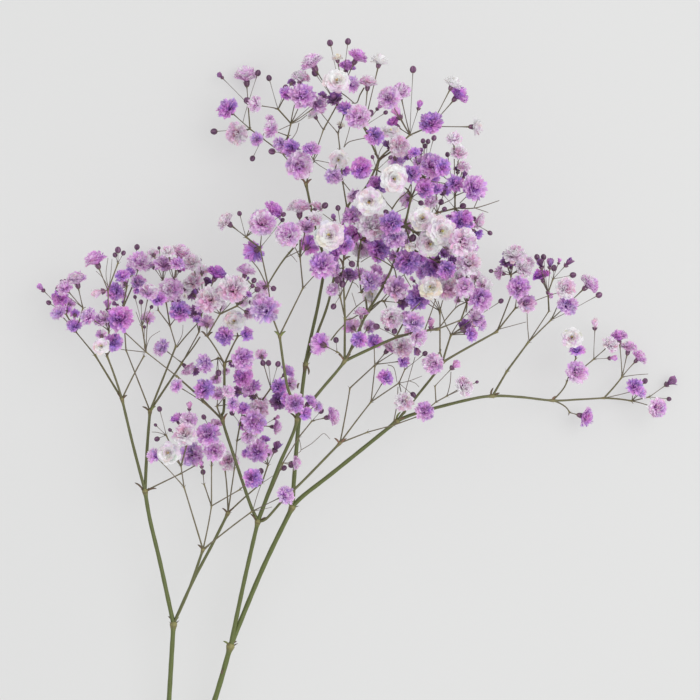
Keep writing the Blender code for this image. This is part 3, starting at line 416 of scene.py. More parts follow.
sprays = {name: (fork, [readArm(row) for row in rows]) for name, (fork, *rows) in sprays.items()}


def place(points):
    # where points of the picture are in metres, each given as across, down and height
    points = np.atleast_2d(np.asarray(points, float))
    drop = (picture["eyeHeight"] - points[:, 2]) / (picture["eyeHeight"] - picture["middleHeight"])
    scale = picture["width"] / picture["points"] * drop
    across = picture["eyeAcross"] + (points[:, 0] - picture["points"] / 2) * scale
    up = picture["eyeUp"] - (points[:, 1] - picture["points"] / 2) * scale
    return np.stack([across, up, points[:, 2]], 1)


def spot(across, down, heightMm):
    return place([(across, down, heightMm * mm)])[0]


def forkSpot(key):
    return spot(*(forks[key] if isinstance(key, str) else key))


def direction(vector):
    return vector / max(np.linalg.norm(vector), 1e-9)


def curveBetween(start, leave, end, arrive, spots):
    # a smooth line that leaves and arrives in the given directions
    t = np.asarray(spots)[:, None]
    return ((2 * t**3 - 3 * t**2 + 1) * start + (t**3 - 2 * t**2 + t) * leave
            + (3 * t**2 - 2 * t**3) * end + (t**3 - t**2) * arrive)


def smoothLeg(before, start, end, after, spots):
    return curveBetween(start, (end - before) / 2, end, (after - start) / 2, spots)


def legsOf(stops):
    # each leg of a stem: the four places that shape it, and its length
    places = [forkSpot(stop) for stop in stops]
    ends = places[:1] + places + places[-1:]
    return [(ends[n:n + 4], np.linalg.norm(ends[n + 2] - ends[n + 1])) for n in range(len(places) - 1)]


def bend(start, control, end, steps):
    t = np.linspace(0, 1, steps)[:, None]
    return (1 - t) ** 2 * start + 2 * t * (1 - t) * control + t**2 * end


def stringOf(path):
    # a path as evenly spaced places
    rows = [path[:1]]
    for start, end in zip(path[:-1], path[1:]):
        count = max(1, math.ceil(np.linalg.norm(end - start) / (growth["beadStep"] * mm)))
        rows.append(start + (end - start) * (np.arange(1, count + 1) / count)[:, None])
    return np.vstack(rows)


class Beads:
    # every solid as rows of balls, to keep twigs and flowers from cutting through each other
    def __init__(self):
        self.at = np.zeros((0, 3))
        self.radius = np.zeros(0)
        self.owner = np.zeros(0, int)

    def add(self, path, radius, owner):
        balls = stringOf(path)
        self.at = np.vstack([self.at, balls])
        self.radius = np.append(self.radius, np.full(len(balls), radius))
        self.owner = np.append(self.owner, np.full(len(balls), owner))

    def gap(self, path, radius, owner):
        balls = stringOf(path)
        reach = radius + growth["far"]
        near = ((self.at > balls.min(0) - reach) & (self.at < balls.max(0) + reach)).all(1)
        near &= self.owner != owner
        if not near.any():
            return growth["far"]
        apart = np.linalg.norm(balls[:, None] - self.at[None, near], axis=2)
        return float((apart - self.radius[near]).min()) - radius


def stemPath(stops, firstRadius, lastRadius):
    # the coarse sections that the solid has
    legs = legsOf(stops)
    whole = sum(length for ends, length in legs)
    path, radii, run = [], [], 0.0
    for n, (ends, length) in enumerate(legs):
        jointAhead = isinstance(stops[n + 1], str)
        inner = max(1, round(length / growth["stemStep"]))
        spots = list(np.arange(1, inner) / inner)
        near = min(growth["jointLength"] / length, growth["jointMost"])
        clear = near * growth["jointClear"]
        if isinstance(stops[n], str) and n > 0:
            spots = [near] + [t for t in spots if t > clear]
        if jointAhead:
            spots = [t for t in spots if t < 1 - clear] + [1 - near]
        spots = ([0.0] if n == 0 else []) + spots + [1.0]
        for t, point in zip(spots, smoothLeg(*ends, spots)):
            share = (run + t * length) / whole
            swell = growth["jointSwell"] if t == 1.0 and jointAhead else 1.0
            path.append(point)
            radii.append((firstRadius + (lastRadius - firstRadius) * share) * mm * swell)
        run += length
    tip = path[-1] + direction(path[-1] - path[-2]) * radii[-1] * growth["tipLong"]
    return np.array(path + [tip]), np.array(radii + [radii[-1] * growth["tipThin"]])


def startClear(path, radii, beads, owner):
    # a stem begins where it is clear of what it grows from
    walk = stringOf(path[:4])
    for n, point in enumerate(walk[:-1]):
        if beads.gap(walk[n:n + 6], radii[0], owner) > growth["gap"]:
            passed = np.linalg.norm(point - path[0])
            keep = np.linalg.norm(path - path[0], axis=1) > passed + mm
            return np.vstack([point, path[keep]]), np.append(radii[0], radii[keep])
    return path, radii


def route(start, control, end, radius, beads, owner):
    # the bend nearest to the wanted one that passes clear of other pieces
    side = direction(np.cross(end - start, (0, 0, 1))) * mm
    lift = np.array((0, 0, mm))
    best, widest = None, -1.0
    for reach in growth["lifts"]:
        for swing in growth["swings"]:
            pulled = control + lift * reach + side * swing
            path = bend(start, pulled, end, 9)
            if path[:, 2].min() < radius * 1.5:
                continue
            gap = beads.gap(path, radius, owner)
            if gap > growth["gap"]:
                return pulled
            if gap > widest:
                best, widest = pulled, gap
    return control if best is None else best


def shortOf(apart, wanted):
    # how much further up or down things have to move before they are clear
    level = np.hypot(apart[..., 0], apart[..., 1])
    return np.sqrt(np.maximum(wanted**2 - level**2, 0)) - np.abs(apart[..., 2])


def settle(heads, beads):
    # flowers move up and down, never across, until none cuts another
    radius = np.array([h["radius"] for h in heads])
    owner = np.array([h["owner"] for h in heads])
    spots = np.array([(h["across"], h["down"], h["height"]) for h in heads])
    order = np.arange(len(heads))
    others = order[:, None] - order[None]
    betweenHeads = radius[:, None] + radius[None] + growth["gap"]
    betweenStems = radius[:, None] + beads.radius[None] + growth["gap"]
    for _ in range(growth["settleRounds"]):
        at = place(spots)
        apart = at[:, None] - at[None]
        short = np.where(others != 0, shortOf(apart, betweenHeads), 0)
        above = np.where(apart[..., 2] == 0, np.sign(others), np.sign(apart[..., 2]))
        push = (np.maximum(short, 0) * above * growth["settleHeads"]).sum(1)
        stems = at[:, None] - beads.at[None]
        short = np.where(owner[:, None] != beads.owner[None], shortOf(stems, betweenStems), 0)
        worst = short.argmax(1)
        depth = np.maximum(short[order, worst], 0)
        push += depth * np.where(stems[order, worst, 2] < 0, -1, 1) * growth["settleStems"]
        spots[:, 2] = np.maximum(spots[:, 2] + push, radius)
    for head, at in zip(heads, place(spots)):
        head["at"] = at


def newHead(name, owner, tip, carried):
    across, down, width, tint, facing = carried
    radius = width / 2 * picture["width"] / picture["points"]
    lift, rise, steep = facings[facing]
    reach = np.linalg.norm(spot(across, down, tip[2])[:2] - tip[:2])
    height = max(tip[2] + lift + rise * reach, radius)
    return dict(node=name, owner=owner, tip=tip, across=across, down=down, height=height, radius=radius,
                steep=math.radians(steep), tint=tint, facing=facing, width=width)


def hangHeads(heads, beads):
    # settles the heads, turns each to its side of the tip, and leads its twig to it
    settle(heads, beads)
    for head in heads:
        out = head["at"] - head["tip"]
        level = direction(np.array((out[0], out[1], 0)))
        head["axis"] = level * math.cos(head["steep"]) + np.array((0, 0, math.sin(head["steep"])))
        beads.add(head["at"][None], head["radius"], head["owner"])
    for head in heads:
        tip, at, axis = head["tip"], head["at"], head["axis"]
        path = np.array((tip, at))
        head["control"] = None
        if beads.gap(path, growth["twigRadius"], head["owner"]) < growth["gap"]:
            wanted = at - axis * growth["twigPull"] * np.linalg.norm(at - tip)
            head["control"] = route(tip, wanted, at, growth["twigRadius"], beads, head["owner"])
            path = bend(tip, head["control"], at, 3)
        beads.add(path, growth["twigRadius"], head["owner"])


def growPlant():
    beads = Beads()
    arms, heads, fine, tips = [], [], [], {}
    for owner, (name, (first, bends, last, thick, thin)) in enumerate(branches.items()):
        path, radii = startClear(*stemPath([first] + bends + [last], thick, thin), beads, owner)
        for n in range(len(path) - 1):
            beads.add(path[n:n + 2], max(radii[n], radii[n + 1]), owner)
    for number, (name, (fork, parts)) in enumerate(sprays.items()):
        owner = len(branches) + number
        hub = forkSpot(fork)
        roots = [spot(*tip) for parent, _, tip, _ in parts if not parent]
        lean = direction(sum(direction(tip - hub) for tip in roots))
        while beads.gap(hub[None], growth["knotRadius"], owner) < growth["gap"]:
            hub = hub + lean * growth["knotStep"] * mm
        tips[name, ""] = hub
        for parent, key, tip, carried in parts:
            start, end = tips[name, parent], spot(*tip)
            path, control = np.array((start, end)), (start + end) / 2
            if beads.gap(path, growth["armRadius"], owner) < growth["gap"]:
                control = route(start, control, end, growth["armRadius"], beads, owner)
                path = bend(start, control, end, 3)
            arms.append(dict(node=name, start=start, control=control, end=end, parent=parent, key=key))
            beads.add(path, growth["armRadius"], owner)
            tips[name, key] = end
            for one in carried:
                solid = one[2] >= growth["finestSolid"]
                (heads if solid else fine).append(newHead(name, owner if solid else -1, end, one))
    for group in (heads, fine):
        hangHeads(group, beads)
    return arms, heads + fine


arms, heads = growPlant()
print("grown:", len(arms), "arms,", len(heads), "flowers and buds")


def linear(red, green, blue):
    # a colour given on the 0 to 255 scale, as Blender wants it
    parts = np.array((red, green, blue)) / 255
    return np.where(parts <= 0.04045, parts / 12.92, ((parts + 0.055) / 1.055) ** 2.4)


class Sheaf:
    # gathers the surfaces of one piece and then makes one mesh of them
    def __init__(self):
        self.points, self.quads, self.tints, self.grains, self.count = [], [], [], [], 0

    def add(self, points, quads, tints, grains=None):
        self.points.append(points)
        self.quads.append(quads + self.count)
        self.tints.append(tints)
        self.grains.append(points * 0 if grains is None else grains)
        self.count += len(points)

    def build(self, name, node, slot, material):
        if not self.points:
            return
        mesh = bpy.data.meshes.new(name)
        mesh.from_pydata(np.vstack(self.points).tolist(), [], np.vstack(self.quads).tolist())
        tint = mesh.color_attributes.new("tint", "FLOAT_COLOR", "POINT")
        tint.data.foreach_set("color", np.vstack(self.tints).astype(np.float32).ravel())
        grain = mesh.attributes.new("grain", "FLOAT_VECTOR", "POINT")
        grain.data.foreach_set("vector", np.vstack(self.grains).astype(np.float32).ravel())
        mesh.shade_smooth()
        mesh.materials.append(material)
        piece = bpy.data.objects.new(name, mesh)
        bpy.context.scene.collection.objects.link(piece)
        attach(piece, "root")
        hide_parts(node)


def gridQuads(rows, cols, sheets=1, closed=False):
    # quads of sheets that are each rows by cols points, and closed joins the last column to the first
    r = np.arange(rows - 1)[:, None]
    c = np.arange(cols if closed else cols - 1)[None]
    after = (c + 1) % cols
    corners = [r * cols + c, r * cols + after, (r + 1) * cols + after, (r + 1) * cols + c]
    one = np.stack(corners, -1).reshape(-1, 4)
    return (one[None] + np.arange(sheets)[:, None, None] * rows * cols).reshape(-1, 4)


def rgba(colours):
    colours = np.atleast_2d(colours)
    return np.hstack([colours, np.ones((len(colours), 1))])


def fading(tint, first, last, rows, cols):
    # the colour of a little sheet, lighter at its foot than at its tip
    colours = np.repeat(rgba(tint), rows * cols, 0)
    colours[:, :3] *= np.repeat(np.linspace(first, last, rows), cols)[:, None]
    return colours


def distanceAlong(path):
    return np.concatenate([[0], np.cumsum(np.linalg.norm(np.diff(path, axis=0), axis=1))])


def framesAlong(path):
    # a pair of directions square to the path at each of its points, without twist
    ahead = np.gradient(path, axis=0)
    ahead /= np.maximum(np.linalg.norm(ahead, axis=1)[:, None], 1e-12)
    side = np.cross(ahead[0], (0, 0, 1) if abs(ahead[0][2]) < 0.9 else (1, 0, 0))
    sides = []
    for step in ahead:
        side = direction(side - step * side.dot(step))
        sides.append(side)
    sides = np.array(sides)
    return ahead, sides, np.cross(ahead, sides)


# Bark: colours by how thick the stem is, from the green base to the thin brown twigs under the flowers.
bark = {
    "thicks": (0.00012, 0.00024, 0.00042, 0.0006, 0.0009, 0.0012),
    "tints": np.array([linear(110, 98, 86), linear(106, 98, 72), linear(95, 96, 58), linear(90, 97, 50),
                       linear(92, 103, 49), linear(98, 108, 52)]),
    "joint": linear(146, 136, 86),
    "scale": linear(90, 72, 50),
    "paintedLitSide": 0.13,  # painted light and shade: how much lighter one side of a stem is painted, with the other side darker
    "paintedLitTurn": 0.8,
    "grainLength": 60,  # turns of the streaks in a metre
    "fullness": 1.1,  # how much wider than their solids the stems are drawn
    "step": 0.9,  # millimetres between the rings of a stem
    "sides": 14,
    "ripple": 0.03,
    "rippleTurns": 900,
    "jointSwell": 0.6,
    "jointReach": 0.0011,
    "jointTint": 0.65,
    "ringBelow": 0.9,  # the dark ring under a joint, in radii of the stem
    "ringWide": 0.28,  # and its width in millimetres
    "ringTint": 0.7,
    "scaleTurns": (0.4, math.pi + 0.7),
    "scaleSeat": 0.9,  # where the two small scales of a joint sit, and their size, in radii of the stem
    "scaleSize": 2.4,
    "greenFrom": 0.55,  # stems with a larger radius than this at the foot, in mm, are the green ones
}


def addTube(sheaf, path, radii, tints, sides):
    ahead, right, up = framesAlong(path)
    turn = np.linspace(0, 2 * math.pi, sides, endpoint=False)
    ring = np.cos(turn)[None, :, None] * right[:, None] + np.sin(turn)[None, :, None] * up[:, None]
    points = path[:, None] + ring * np.asarray(radii)[:, None, None]
    grain = (np.cos(turn), np.sin(turn), distanceAlong(path)[:, None] * bark["grainLength"])
    grain = np.stack([np.broadcast_to(part, points.shape[:2]) for part in grain], -1)
    colours = np.repeat(rgba(tints), sides, 0)
    # painted light and shade: one side of every tube is painted lighter and the opposite side darker
    colours[:, :3] *= np.tile(1 + bark["paintedLitSide"] * np.cos(turn - bark["paintedLitTurn"]), len(path))[:, None]
    quads = gridQuads(len(path), sides, closed=True)
    sheaf.add(points.reshape(-1, 3), quads, colours, grain.reshape(-1, 3))


def barkTint(radii):
    return np.stack([np.interp(radii, bark["thicks"], bark["tints"][:, k]) for k in range(3)], 1)


def thinEnds(path, radii):
    # closes a tube with a rounded end
    last = direction(path[-1] - path[-2]) * radii[-1]
    path = np.vstack([path, path[-1] + last * 0.6, path[-1] + last * 0.9])
    return path, np.concatenate([radii, [radii[-1] * 0.75, radii[-1] * 0.1]])


# The plain cut across the foot of the stem: a dull rim around paler pith.
cutFace = {
    "out": np.array((0.05, 0.045, 0.035, 0.01)) * mm,
    "radii": np.array((0.04, 0.5, 0.84, 0.97)),
    "tints": np.array([linear(206, 204, 158), linear(188, 190, 134), linear(128, 134, 82),
                       linear(86, 84, 52)]),
}


def cutEnd(path, radii, tints):
    back = direction(path[0] - path[1])
    return (np.vstack([path[0] + back * cutFace["out"][:, None], path]),
            np.concatenate([radii[0] * cutFace["radii"], radii]), np.vstack([cutFace["tints"], tints]))


# The little pointed scales that clasp every joint and lean away from it, in shares of their size.
scaleShape = {
    "rows": 6,
    "cols": 5,
    "wide": 0.34,
    "belly": (0.75, 0.5),
    "lean": (0.12, 0.75),
    "leanCurve": 1.6,
    "clasp": 0.25,
    "long": 0.95,
    "roll": 0.5,
    "pale": 1.25,
    "fade": (1.15, 0.7),
}


def sheetOf(shape):
    # how far along and across a little sheet its points are
    return np.linspace(0, 1, shape["rows"])[:, None], np.linspace(-1, 1, shape["cols"])[None]


def addScale(sheaf, at, ahead, out, size, tint):
    shape = scaleShape
    ahead, out = direction(ahead), direction(out - ahead * out.dot(ahead))
    side = np.cross(ahead, out)
    u, v = sheetOf(shape)
    half = size * shape["wide"] * np.sqrt(np.maximum(1 - u, 0)) * (shape["belly"][0] + shape["belly"][1] * u)
    lean = size * (shape["lean"][0] + shape["lean"][1] * u**shape["leanCurve"])
    rise = size * (u - shape["clasp"]) * shape["long"]
    points = (at + (rise + 0 * v)[..., None] * ahead + (lean - half * v**2 * shape["roll"])[..., None] * out
              + (half * v)[..., None] * side)
    colours = fading(tint * shape["pale"], *shape["fade"], shape["rows"], shape["cols"])
    sheaf.add(points.reshape(-1, 3), gridQuads(shape["rows"], shape["cols"]), colours)


def blend(tints, other, share):
    return tints * (1 - share[:, None]) + other * share[:, None]


def addStem(sheaf, stops, thick, thin):
    # the same line as the solid's, drawn finely, with a swollen joint wherever it passes a fork
    path, joints = [], []
    for n, (ends, length) in enumerate(legsOf(stops)):
        count = max(3, round(length / (bark["step"] * mm)))
        path.append(smoothLeg(*ends, np.arange(0 if n == 0 else 1, count + 1) / count))
        if isinstance(stops[n + 1], str):
            joints.append(sum(len(leg) for leg in path) - 1)
    path = np.vstack(path)
    far = distanceAlong(path)
    plain = (thick + (thin - thick) * far / far[-1]) * mm
    radii = plain * bark["fullness"] * (1 + bark["ripple"] * np.sin(far * bark["rippleTurns"] + len(path)))
    tints = barkTint(plain)
    for joint in joints:
        past = far - far[joint]
        near = np.exp(-(past / (bark["jointReach"] * (0.6 + plain[joint] / mm))) ** 2)
        radii = radii * (1 + bark["jointSwell"] * near)
        tints = blend(tints, bark["joint"], bark["jointTint"] * near)
        ring = np.exp(-((past + plain[joint] * bark["ringBelow"]) / (bark["ringWide"] * mm)) ** 2)
        tints = blend(tints, bark["scale"], bark["ringTint"] * ring)
    ahead, right, up = framesAlong(path)
    tube = (*thinEnds(path, radii), np.vstack([tints, tints[-1:], tints[-1:]]))
    if stops[0] == "cut_end":
        tube = cutEnd(*tube)
    addTube(sheaf, *tube, bark["sides"])
    for joint in joints:
        for turn in bark["scaleTurns"]:
            out = right[joint] * math.cos(turn) + up[joint] * math.sin(turn)
            addScale(sheaf, path[joint] + out * plain[joint] * bark["scaleSeat"], ahead[joint], out,
                     plain[joint] * bark["scaleSize"], bark["scale"])


# Larger bracts at the joints, by piece: foot (across, down, height in mm), tip (across, down), and colour.
brown, red, green = linear(84, 68, 50), linear(112, 84, 66), linear(104, 112, 58)
bracts = {
    "left_main_stem": [((173, 622, 15), (168, 616), brown), ((175, 622, 15), (179, 617), green)],
    "right_main_stem": [((229, 645, 13), (223, 641), green), ((232, 645, 13), (237, 641), brown),
                        ((222, 674, 12.6), (223.5, 669), brown)],
    "left_outer_branch": [((143, 490, 21), (134.5, 482.5), brown), ((147, 491, 21), (157, 488.5), brown)],
    "left_inner_branch": [((202, 549, 24), (197.5, 544.5), brown), ((205, 549, 24), (209.5, 545.5), brown)],
    "left_middle_branch": [((227, 513, 15), (222, 508), brown), ((229, 513, 15), (234, 508), brown)],
    "centre_branch": [((256, 521, 22), (250, 513.5), brown), ((260, 521, 22), (268, 517.5), brown),
                      ((258, 522, 22), (254, 515), green)],
    "right_branch": [((291, 507, 17), (286.5, 501.5), green), ((294, 507, 17), (298, 500), brown)],
    "outer_left_arm": [((121, 399, 26), (117, 393), brown), ((123, 399, 26), (127.5, 395), brown)],
    "outer_middle_arm": [((149, 411, 18), (142, 406.5), brown), ((151, 411, 18), (156, 406), green)],
    "long_right_branch": [((396, 421, 21), (401, 411.5), green), ((399, 420, 21), (406, 412.5), green),
                          ((398, 421, 21), (406, 417.5), red)],
    "knee_branch": [((222, 420, 25), (217, 414), red), ((224, 420, 25), (228, 413), red)],
    "heart_branch": [((296, 419, 34), (290, 413), brown), ((299, 419, 34), (304, 412.5), brown),
                     ((279, 336, 40), (274, 331), green), ((281, 336, 40), (286, 331), green)],
    "tall_stem": [((307, 366, 22), (308.5, 375), brown), ((306, 366, 22), (304.5, 373), brown),
                  ((299, 383, 21.5), (298, 389), brown),
                  ((306, 184, 32), (300, 178.5), red), ((307, 184, 32), (312, 179), red)],
    "twin_stem": [((379, 160, 42), (374, 153.5), brown), ((380, 160, 42), (386, 155), brown)],
    "star_branch": [((344, 361, 37), (338, 354), red), ((346, 361, 37), (351, 354), red),
                    ((367, 313, 38), (362, 307), green)],
    "right_arm": [((491, 396, 20), (493.5, 387.5), brown), ((494, 396, 20), (500, 393), brown),
                  ((552, 400.5, 15), (556, 396), red)],
    "shoulder_branch": [((440, 361, 29), (436, 355), brown)],
    "gap_branch": [((339, 443, 24), (334, 438), red), ((341, 443, 24), (347, 438.5), red)],
    "crest_spray": [((206, 336, 37), (201, 331), brown), ((208, 336, 37), (213, 332), brown)],
    "mass_top_spray": [((421, 178, 44), (417, 183), brown), ((421, 177, 44), (428, 181), brown),
                       ((421, 177, 44), (423, 170), brown), ((411, 198, 43), (404, 187), brown)],
    "mast_spray": [((343, 266, 46), (338, 257), brown), ((344, 260, 46), (351, 256.5), brown),
                   ((344, 258, 47), (343, 250), brown)],
    "mass_right_spray": [((438, 215, 38), (435, 219.5), brown), ((441, 213, 38), (435.5, 212.5), red)],
    "mass_violet_spray": [((400, 221, 41), (387, 215.5), red), ((414, 250, 37), (419, 242), brown)],
    "rose_spray": [((361, 241, 35), (365, 233), red), ((361, 241, 35), (379, 235.5), red)],
}

# How such a bract is shaped, in shares of its length where no unit is given.
bractShape = {
    "rows": 8,
    "cols": 5,
    "lift": 0.3,  # millimetres that its foot stands off the middle of the stem
    "wide": 0.24,
    "mostWide": 0.42,  # millimetres
    "taper": 0.6,
    "belly": (0.7, 1.1),
    "arch": (0.22, 2.6),  # height of the arch, and the turn that it makes
    "sway": (0.12, 3.1),
    "roll": 0.7,
    "fade": (1.45, 0.8),
}


def addBracts(sheaf, name):
    # thin pointed scales, arched and slightly rolled, each from its foot on the joint to its tip
    shape, upward = bractShape, np.array((0, 0, 1.0))
    for foot, tip, tint in bracts.get(name, []):
        at, end = spot(*foot) + np.array((0, 0, shape["lift"])) * mm, spot(*tip, foot[2])
        ahead, long = direction(end - at), np.linalg.norm(end - at)
        side = np.cross(ahead, upward)
        u, v = sheetOf(shape)
        half = min(shape["wide"] * long, shape["mostWide"] * mm) * (1 - u) ** shape["taper"]
        half = half * (shape["belly"][0] + shape["belly"][1] * u)
        arch = shape["arch"][0] * long * np.sin(u * shape["arch"][1]) - half * v**2 * shape["roll"]
        sway = shape["sway"][0] * long * np.sin(u * shape["sway"][1]) * (1 if foot[0] > tip[0] else -1)
        points = (at + (u * long + 0 * v)[..., None] * ahead + arch[..., None] * upward
                  + (half * v + sway)[..., None] * side)
        colours = fading(tint, *shape["fade"], shape["rows"], shape["cols"])
        sheaf.add(points.reshape(-1, 3), gridQuads(shape["rows"], shape["cols"]), colours)


def makeStems():
    for name, (first, bends, last, thick, thin) in branches.items():
        sheaf = Sheaf()
        addStem(sheaf, [first] + bends + [last], thick, thin)
        addBracts(sheaf, name)
        slot = "green_stem" if thick > bark["greenFrom"] else "brown_branch"
        sheaf.build(name + "_bark", name, slot, barkMaterial)
    print("stems made:", len(branches))


# Petals. Whorls are (steepness of the tip from the axis in degrees, petals, length in radii).
petalForms = {
    "pompom": dict(whorls=((98, 18, 1.0), (88, 19, 1.02), (77, 18, 1.05), (66, 17, 1.08), (54, 15, 1.10),
                           (41, 12, 1.13), (28, 9, 1.15), (14, 6, 1.12)),
                   foot=0.6, wide=0.34, curl=26, start=0.4, cup=0.12, ruffle=0.20, notch=0.07, uneven=0.06,
                   twist=0.4, claw=0.25, reach=1.05),
    "ragged": dict(whorls=((98, 17, 1.0), (87, 17, 1.03), (75, 17, 1.06), (63, 15, 1.09), (50, 13, 1.11),
                           (36, 10, 1.13), (22, 8, 1.14), (9, 3, 1.1)),
                   foot=0.6, wide=0.33, curl=30, start=0.4, cup=0.14, ruffle=0.26, notch=0.09, uneven=0.09,
                   twist=0.55, claw=0.25, reach=1.08),
    "cup": dict(whorls=((92, 11, 1.0), (85, 11, 0.95), (77, 10, 0.87), (69, 9, 0.78), (60, 8, 0.67),
                        (50, 7, 0.54), (38, 5, 0.42), (22, 4, 0.36)),
                foot=0.3, wide=0.62, curl=8, start=0.82, cup=-0.05, ruffle=0.07, notch=0.05, uneven=0.06,
                twist=0.12, claw=0.4, reach=1.02),
    "goblet": dict(whorls=((86, 10, 1.0), (72, 10, 1.06), (58, 10, 1.12), (44, 9, 1.16), (30, 6, 1.16),
                           (14, 4, 1.1)),
                   foot=0.6, wide=0.62, curl=8, start=0.7, cup=-0.12, ruffle=0.10, notch=0.05, uneven=0.05,
                   twist=0.15, claw=0.4, reach=1.0),
    "loose": dict(whorls=((97, 14, 1.0), (84, 14, 1.04), (70, 13, 1.08), (54, 11, 1.12), (36, 9, 1.12),
                          (18, 6, 1.1)),
                  foot=0.6, wide=0.38, curl=24, start=0.38, cup=0.12, ruffle=0.20, notch=0.09, uneven=0.09,
                  twist=0.45, claw=0.28, reach=1.05),
    "tuft": dict(whorls=((34, 8, 1.0), (20, 7, 1.05), (8, 4, 1.05)),
                 foot=0.5, wide=0.54, curl=10, start=0.5, cup=-0.14, ruffle=0.12, notch=0.08, uneven=0.1,
                 twist=0.3, claw=0.35, reach=0.8),
}

# What a flower seen from its side has instead, so that it looks like a soft half ball.
sideForm = dict(wide=0.42, curl=2, ruffle=0.12, twist=0.2, uneven=0.05)

# Flowers by tint: the form of the petals, their colours at the foot, in the middle and at the tip, the colour
# that a share of the petals on one side turns to, and that share.
flowers = {
    "white": ("cup", (236, 226, 206), (243, 234, 232), (244, 238, 238), (240, 220, 230), 0.4),
    "cream": ("cup", (226, 214, 170), (240, 231, 217), (243, 236, 227), (238, 220, 222), 0.35),
    "blush": ("pompom", (226, 158, 200), (244, 212, 232), (249, 233, 243), (238, 192, 220), 0.35),
    "haze": ("pompom", (204, 146, 198), (236, 197, 229), (247, 222, 243), (222, 178, 220), 0.4),
    "pink": ("pompom", (168, 88, 154), (229, 178, 226), (248, 224, 245), (213, 153, 217), 0.3),
    "orchid": ("ragged", (140, 66, 156), (211, 152, 217), (242, 212, 243), (190, 124, 206), 0.35),
    "magenta": ("pompom", (130, 44, 126), (209, 131, 208), (240, 192, 238), (178, 102, 200), 0.3),
    "lilac": ("ragged", (116, 70, 150), (200, 162, 219), (231, 210, 241), (212, 158, 218), 0.35),
    "violet": ("ragged", (88, 42, 126), (168, 117, 201), (218, 186, 234), (192, 122, 202), 0.4),
    "mauve": ("loose", (146, 98, 144), (212, 178, 208), (233, 208, 230), (182, 136, 186), 0.35),
    "plum": ("loose", (58, 30, 60), (118, 78, 124), (168, 128, 170), (136, 90, 158), 0.4),
    "openBlush": ("tuft", (206, 160, 184), (238, 216, 227), (246, 233, 238), (228, 190, 212), 0.3),
    "openPink": ("tuft", (146, 76, 130), (218, 166, 210), (238, 204, 232), (188, 130, 194), 0.3),
    "openPlum": ("tuft", (66, 34, 64), (138, 92, 136), (178, 138, 176), (160, 118, 188), 0.3),
}

flowerShape = {
    "turnJitter": 0.2,  # how unevenly the petals stand: radians around, then degrees of tilt and of curl
    "tiltJitter": 4.5,
    "curlJitter": 9,
    "wideJitter": 0.12,
    "innerCurl": (-38, 4),  # curl in degrees of the innermost petals and of those about halfway out
    "innerWide": (1.15, 0.85, 1.0),  # width of the innermost, middle and outermost petals
    "frillJitter": 0.45,
    "calyxDeep": 1.02,  # how far below the middle of the flower its twig ends, in radii
    "calyxWide": (0.26, 0.44),  # least and most radius of the calyx, in radii of the flower
    "calyxSize": 0.00072,  # and its usual radius
    "openDeep": 0.95,  # the same for a half-open bud
    "openWide": 0.52,
    "wideFrom": 18,  # flowers at least this many points wide have finer petals
    "sideFullness": 1.25,  # share of the petals that a flower seen from its side has
    "smallFullness": (0.66, 0.03, 8),  # and a small one: share, its growth for each point, and from how many
    "footTint": (0.3, 0.4),  # where the colour of the foot gives way to the middle's, along the petal
    "tipTint": (0.28, 0.72),
    "edgeTint": 0.35,
    "tipShare": {"F": 0.8, "H": 0.8, "S": 0.45, "B": 0.8},
    # painted light: petal colours are lifted by how the flower faces, to make up for the shade that falls on
    # it
    "paintedLightByFacing": {"F": 1.16, "H": 1.26, "S": 1.26, "B": 1.3},
    "variety": 0.17,  # how much lighter or darker one petal may be than the next
    "warmth": 0.05,
}


